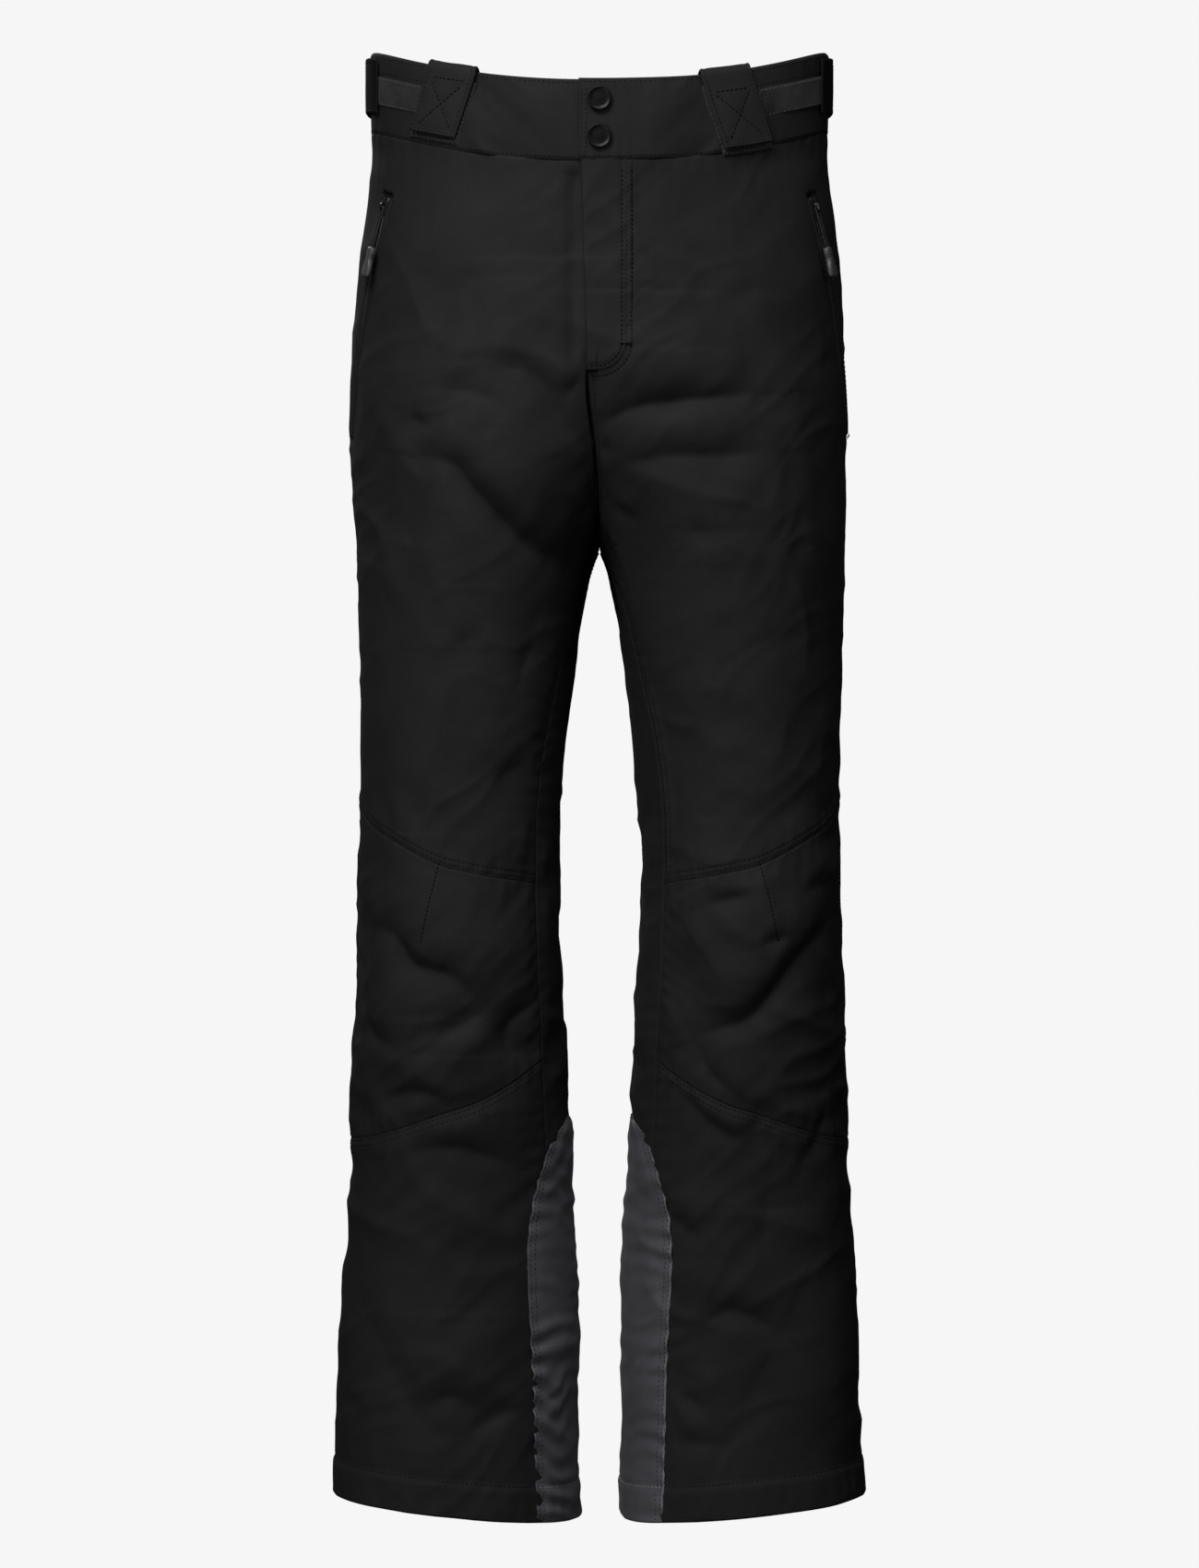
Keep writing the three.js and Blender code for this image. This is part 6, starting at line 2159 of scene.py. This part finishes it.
@dataclass(frozen=True)
class Straps:
    """The suspender tab, waist adjuster and belt loop of one side.

    The names from width to box_top are the suspender tab's. The panel and tab are the adjuster's. Pairs
    are for the left and the right side, and middles, from and until are angles round the band.
    """

    hand: int
    width: float = 38.0
    lean: float = 18.0
    heights: tuple[float, float] = (57.0, 51.0)
    middles: tuple[float, float] = (119.5, 126.0)
    strap_lift: float = 4.4
    fold: float = 5.3
    tail: float = 11.0
    hem: float = 2.6
    box: float = 6.0
    box_top: float = 40.0
    panel_from: tuple[float, float] = (130.0, 134.0)
    panel_height: float = 21.0
    tab_from: float = 160.0
    tab_until: float = 222.0
    tab_height: float = 40.0
    loop_size: tuple[float, float] = (12.0, 50.0)
    loop_arch: float = 3.2

    def build(self) -> None:
        """Make the straps."""
        self._suspender()
        self._adjuster()
        self._belt_loop()
        LOG.info("built the %s straps", side_of(self.hand))

    def _named(self, name: str) -> str:
        """Add the side to a name."""
        return f"{name}_{side_of(self.hand)}"

    def _patch(self, name: str, place: Place, size: tuple[float, float], thick: float) -> Patch:
        """A patch on this side, of a width, height and thickness."""
        return Patch(self._named(name), place, *size, thick)

    def _lay(self, patch: Patch, finish: Finish, body: str, node: str) -> None:
        """Build a patch that rides on this side's body, or the hips, and stands for this side's node."""
        patch.build(finish, body if body == "hips" else self._named(body), self._named(node), self.hand < 0)

    def _suspender(self) -> None:
        """The folded tab with its crossed stitching, and the hook and loop under it."""
        width, lean, right = self.width, math.tan(math.radians(self.lean)), self.hand < 0
        height, middle = self.heights[right], self.middles[right]
        per_degree = BandPlace(middle, height / 2, 0, self.hand).width_to(middle + 1)
        start = middle - width / 2 / per_degree
        over = height - 2.4
        strap = FoldedPlace(BandPlace(start, height, self.strap_lift, self.hand, lean), over, self.fold)
        patch = self._patch("suspender_strap", strap, (width, over + self.fold * math.pi + self.tail), 1.1)
        box, top, hem = self.box, self.box_top, self.hem
        u, v = np.meshgrid(patch.u, patch.v)
        border = -0.8 * bell(patch.gap - hem, 0.9) + 0.3 * (1 - smoothstep(patch.gap, hem, 4.5))
        crosswise = (v - box) / (top - box) * (width - 2 * box)
        crossing = np.minimum(abs(u - box - crosswise), abs(width - box - u - crosswise))
        crossing = np.where((v > box - 1) & (v < top + 1), crossing, 9)
        soft = 0.45 * noise(patch.base, (16, 16, 16), 71)
        patch.dress(border - 0.8 * bell(crossing, 1.2) + soft)
        self._lay(patch, SHELL, "suspender_tab", "suspender_tab")
        book = StitchBook(self._named("suspender_stitches"))
        bold = Thread(length=3.2, pitch=3.5, radius=0.5, lift=0.15)
        book.sew(*patch.at([(hem, over + 4), (hem, hem), (width - hem, hem), (width - hem, over + 4)]))
        for line in ([(box, top + 2), (width - box, top + 2)], [(box, box), (width - box, top)],
                     [(width - box, box), (box, top)]):
            book.sew(*patch.at(line), bold)
        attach(book.build(SEWING), self._named("suspender_tab"))
        low = BandPlace(start - 2 / per_degree, height + 4.5, 0.8, self.hand, lean)
        base = self._patch("suspender_loop_patch", low, (width + 3, height - 4), 1.1)
        base.dress(0.3 * noise(base.base, (6.0, 6.0, 6.0), 72))
        self._lay(base, FUZZ, "hips", "suspender_base")
        # The U of pale lines round the loop patch is a painted highlight on its shiny woven edge, laid as
        # stitches.
        edge = StitchBook(self._named("suspender_patch_edge_highlights"))
        edge.sew(*base.at([(1.6, 40), (1.6, 1.6), (width - 1.6, 1.6), (width - 1.6, 40)]))
        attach(edge.build(PAINTED_EDGE_HIGHLIGHT), "hips")
        hook_place = BandPlace(start + 2 / per_degree, height - 2, 2.7, self.hand, lean)
        hook = self._patch("suspender_hook_patch", hook_place, (width - 4, 18), 0.8)
        self._lay(hook, FUZZ, "suspender_tab", "suspender_hook")

    def _adjuster(self) -> None:
        """The tab that takes in the waist, and the long loop panel that it grips."""
        panel_place = BandPlace(self.panel_from[self.hand < 0], 38, 0.9, self.hand)
        size = (panel_place.width_to(200), self.panel_height)
        panel = self._patch("adjuster_loop_panel", panel_place, size, 1.0)
        panel.dress(0.35 * noise(panel.base, (6.5, 6.5, 6.5), 73))
        self._lay(panel, FUZZ, "hips", "loop_panel")
        # The pale lines along the loop panel's top, bottom and end are painted highlights on its shiny woven
        # edge, laid as stitches.
        book = StitchBook(self._named("loop_panel_edge_highlights"))
        wide, low, high = size[0], 1.4, 19.4
        for start, end in (((low, low), (wide - 2, low)), ((low, high), (wide - 2, high)),
                           ((low, high), (low, low))):
            book.sew(*panel.at([start, end]))
        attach(book.build(PAINTED_EDGE_HIGHLIGHT), "hips")
        place = BandPlace(self.tab_from, 44, 2.9, self.hand)
        size = (place.width_to(self.tab_until), self.tab_height)
        tab = self._patch("adjuster_strap", place, size, 1.2)
        border = -0.35 * bell(tab.gap - 3, 0.9) + 0.1 * (1 - smoothstep(tab.gap, 3, 5))
        tab.dress(border + 0.5 * noise(tab.base, (16, 16, 16), 74))
        # The tab's dark cloth is painted shade for its shaded inner face.
        self._lay(tab, STRAP_PAINTED_SHADE, "adjuster_tab", "adjuster_tab")
        book = StitchBook(self._named("adjuster_stitches"))
        wide, high = size[0] - 3, self.tab_height - 3
        book.sew(*tab.at([(wide, high), (3, high), (3, 3), (wide, 3), (wide, high)]))
        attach(book.build(SEWING), self._named("adjuster_tab"))
        hook_place = BandPlace(self.tab_from + 3, 37, 2.0, self.hand)
        hook = self._patch("adjuster_hook_patch", hook_place, (hook_place.width_to(190), 20), 0.7)
        self._lay(hook, FUZZ, "adjuster_tab", "adjuster_hook")

    def _belt_loop(self) -> None:
        """A narrow loop at the back of the band."""
        place = BandPlace(240, 55, 0.6, self.hand)

        def arched(u: Array, v: Array) -> tuple[Array, Array]:
            """Find places for the loop, which stands off the band between its ends."""
            base, normals = place(u, v)
            lift = self.loop_arch * np.clip(np.sin(np.clip((v - 4) / 42, 0, 1) * math.pi), 0, 1) ** 0.45
            return base + normals * lift[..., None], normals

        loop = self._patch("back_belt_loop", arched, self.loop_size, 1.6)
        loop.dress(-0.3 * bell(loop.gap - 2.2, 0.8))
        self._lay(loop, SHELL, "hips", "belt_loop")
        book = StitchBook(self._named("belt_loop_stitches"))
        for across in (2.2, 9.8):
            book.sew(*loop.at([(across, 1.5), (across, 48.5)]))
        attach(book.build(SEWING), "hips")


# ---- inside


@dataclass(frozen=True)
class Inside:
    """The pieces inside the pants. A gaiter's lower edge is gaiter_low above the hem."""

    lining_depth: float = 10.0
    gaiter_low: float = 24.0
    gaiter_tall: float = 148.0
    pleats: int = 26
    cord: float = 1.5

    def build(self) -> None:
        """Make the lining, the snow gaiters and the hanger loop."""
        for hand in (1, -1):
            self._lining(hand)
            self._gaiter(hand)
        self._hanger()
        LOG.info("built the inside pieces")

    def _lining(self, hand: int) -> None:
        """Half of the smooth lining of the hips.

        Args:
            hand: 1 for the left half, -1 for the right.
        """
        z = np.linspace(-325, -31, 60)[:, None]
        front, back = SHAPE.angle_at_x(0.0, z), 360 - SHAPE.angle_at_x(0.0, z)
        angle = front + (back - front) * np.linspace(0, 1, 80)[None, :]
        z = np.broadcast_to(z, angle.shape)
        base, normals = SHAPE.point(angle, z), SHAPE.normal(angle, z)
        flip = np.array([hand, 1, 1])
        depth = self.lining_depth + 1.5 * noise(base * flip, (50, 50, 40), 81)
        points = base - normals * depth[..., None]
        points[..., 0] = np.maximum(points[..., 0], 0)
        rows, columns = angle.shape
        faces = grid_faces(rows, columns, flip=hand > 0)
        piece = mesh_object(f"lining_{side_of(hand)}", (points * flip).reshape(-1, 3), faces, LINING)
        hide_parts("hips_lining")
        HIP_ZONE.apply(piece, hand)

    def _gaiter(self, hand: int) -> None:
        """A gathered cuff inside the leg, with elastic at its lower edge.

        Args:
            hand: 1 for the left leg, -1 for the right.
        """
        side = side_of(hand)
        shares = np.concatenate([[0.0, 0.03, 0.06, 0.09, 0.12], np.linspace(0.16, 1, 34)])
        angle = np.arange(0, 360, 1.5)[None, :]
        z = (SHAPE.hem_z + self.gaiter_low + self.gaiter_tall * shares)[:, None]
        base, normals = SHAPE.point(angle, z), SHAPE.normal(angle, z)
        drawn = 21.0 - 14.5 * smoothstep(shares, 0.12, 1.0)[:, None]
        gathers = np.sin(np.radians(angle * self.pleats) + 2 * noise(base, (30, 30, 60), 82))
        pleat = 2.2 * np.exp(-np.abs(shares[:, None] - 0.2) * 3.2) * (0.4 + 0.6 * (shares[:, None] > 0.1))
        elastic = 0.8 * (shares[:, None] < 0.1)
        points = base - normals * (drawn - gathers * pleat - elastic)[..., None]
        rows, columns = len(shares), angle.shape[1]
        piece = mesh_object(f"gathered_gaiter_{side}", (points * np.array([hand, 1, 1])).reshape(-1, 3),
                            grid_faces(rows, columns, ring=True, flip=hand < 0), LINING)
        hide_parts(f"snow_gaiter_{side}")
        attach(piece, f"shin_{side}")

    def _hanger(self) -> None:
        """A looped cord inside the back of the band."""
        low, high = [np.array(corner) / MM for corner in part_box("hanger_loop")]
        y = (low[1] + high[1]) / 2
        turns = np.linspace(0, math.pi, 24)
        middle, half = (low[0] + high[0]) / 2, (high[0] - low[0]) / 2 - 1.6
        bottom = low[2] + half + 1.6
        bend = [(middle - half * math.cos(t), y, bottom - half * math.sin(t)) for t in turns]
        path = np.array([(middle - half, y, high[2])] + bend + [(middle + half, y, high[2])])
        tangent = unit(np.gradient(path, axis=0))
        side = np.array([0.0, 1.0, 0.0])
        around = np.radians(np.arange(0, 360, 30))
        turned = np.cos(around)[None, :, None] * np.cross(tangent, side)[:, None]
        rings = path[:, None] + self.cord * (np.sin(around)[None, :, None] * side + turned)
        rows, columns = rings.shape[:2]
        faces = grid_faces(rows, columns, ring=True)
        faces += [list(range(columns))[::-1], list(range((rows - 1) * columns, rows * columns))]
        piece = mesh_object("hanger_cord", rings.reshape(-1, 3), faces, CORD)
        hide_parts("hanger_loop")
        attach(piece, "hips")


# ---- metal and cord


@dataclass(frozen=True)
class Hardware:
    """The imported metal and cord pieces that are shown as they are, by how their names start."""

    rounding: float = 0.25
    finishes: tuple[tuple[str, Finish], ...] = (
        ("pocket_slider", NICKEL), ("fly_slider", NICKEL), ("fly_pull", NICKEL),
        ("snap_socket", NICKEL), ("snap_stud", NICKEL), ("pocket_pull_cord", CORD),
    )

    def dress(self) -> None:
        """Give each its finish, and round its edges."""
        for name, node in frame["nodes"].items():
            for start, finish in self.finishes:
                if name.startswith(start):
                    node.data.materials.clear()
                    node.data.materials.append(finish.material())
                    if finish is NICKEL:
                        bevel = node.modifiers.new("rounded", "BEVEL")
                        bevel.width = self.rounding * MM
                        bevel.segments = 2
                        bevel.limit_method = "ANGLE"
                    node.data.polygons.foreach_set("use_smooth", [True] * len(node.data.polygons))


# ---- stage


@dataclass(frozen=True)
class Stage:
    """Floor, light and camera, in metres.

    Attributes:
        distance: from the camera to the middle of the pants.
        height: of the camera.
        view_tall: what the camera takes in from top to bottom, at that distance.
        floor: height of the floor.
        floor_reach: how far the floor runs to the sides and the front, and behind.
        floor_glow: its own light, which doesn't reach the pants.
        backdrop: brightness behind the pants.
        ambient: strength of the light from all round.
        lamps: each lamp's name, place, width and power.
    """

    distance: float = 3.4
    height: float = -0.5096
    view_tall: float = 1.161
    floor: float = -2.2
    floor_reach: tuple[float, float] = (9.0, 5.0)
    floor_glow: float = 0.9
    backdrop: float = 0.922
    ambient: float = 0.025
    lamps: tuple[tuple[str, tuple[float, float, float], float, float], ...] = (
        ("key", (-0.70, -1.75, 1.45), 1.2, 40.0), ("fill", (-1.3, -2.6, -0.9), 1.2, 16.0),
        ("side", (1.7, -1.5, 0.9), 1.0, 5.0), ("top", (0.1, -0.9, 1.8), 1.3, 12.0),
        ("back", (-1.2, 2.6, 1.6), 1.6, 26.0),
    )

    def build(self) -> None:
        """Set the stage."""
        scene = bpy.context.scene
        scene.view_settings.view_transform = "Standard"
        scene.view_settings.look = "None"
        self._floor()
        self._world(scene)
        for lamp in self.lamps:
            self._lamp(*lamp)
        self._camera(scene)

    def _floor(self) -> None:
        """A wide pale floor, far below."""
        wide, deep = self.floor_reach
        corners = np.array([(x, y, self.floor) for x, y in ((-wide, -wide), (wide, -wide), (wide, deep),
                                                            (-wide, deep))]) / MM
        floor = mesh_object("floor", corners, [(0, 1, 2, 3)], FLOOR)
        shader = floor.data.materials[0].node_tree.nodes["Principled BSDF"]
        shader.inputs["Emission Color"].default_value = (0.8, 0.8, 0.8, 1)
        shader.inputs["Emission Strength"].default_value = self.floor_glow
        floor.visible_diffuse = False
        floor.visible_glossy = False

    def _world(self, scene: bpy.types.Scene) -> None:
        """A pale backdrop that the camera sees, and a dimmer one that lights the cloth.

        Args:
            scene: takes it as its world.
        """
        world = bpy.data.worlds.new("studio")
        world.use_nodes = True
        scene.world = world
        tree = world.node_tree
        tree.nodes.clear()
        output = tree.nodes.new("ShaderNodeOutputWorld")
        seen = add_node(tree, "Background", {"Color": (self.backdrop, self.backdrop, self.backdrop, 1)})
        light = add_node(tree, "Background", {"Color": (1.0, 1.0, 1.0, 1), "Strength": self.ambient})
        ray = add_node(tree, "LightPath", {}).outputs["Is Camera Ray"]
        mix = add_node(tree, "MixShader", {"Fac": ray, 1: light.outputs[0], 2: seen.outputs[0]})
        tree.links.new(mix.outputs["Shader"], output.inputs["Surface"])

    def _lamp(self, name: str, place: tuple[float, float, float], size: float, power: float) -> None:
        """A soft square lamp that points at the middle of the pants.

        Args:
            name: its name.
            place: where it stands.
            size: its width.
            power: in watts.
        """
        data = bpy.data.lights.new(name, "AREA")
        data.shape = "SQUARE"
        data.size = size
        data.energy = power
        lamp = bpy.data.objects.new(name, data)
        bpy.context.scene.collection.objects.link(lamp)
        lamp.location = place
        aim = Vector((0, 0, self.height)) - Vector(place)
        lamp.rotation_euler = aim.to_track_quat("-Z", "Y").to_euler()

    def _camera(self, scene: bpy.types.Scene) -> None:
        """A level camera straight in front.

        Args:
            scene: takes it as its camera.
        """
        data = bpy.data.cameras.new("front")
        data.sensor_fit = "VERTICAL"
        data.sensor_height = 24.0
        data.lens = data.sensor_height * self.distance / self.view_tall
        data.clip_end = 50
        camera = bpy.data.objects.new("front", data)
        scene.collection.objects.link(camera)
        camera.location = (0, -self.distance, self.height)
        camera.rotation_euler = (math.pi / 2, 0, 0)
        scene.camera = camera


def main() -> None:
    """Build everything in order."""
    logging.basicConfig(level=logging.INFO, format="%(message)s")
    Waistband().build()
    Fly().build()
    for hand in (1, -1):
        Legs(hand).build()
        Pocket(hand).build()
        Straps(hand).build()
    Inside().build()
    Hardware().dress()
    Stage().build()


if __name__ == "__main__":
    main()
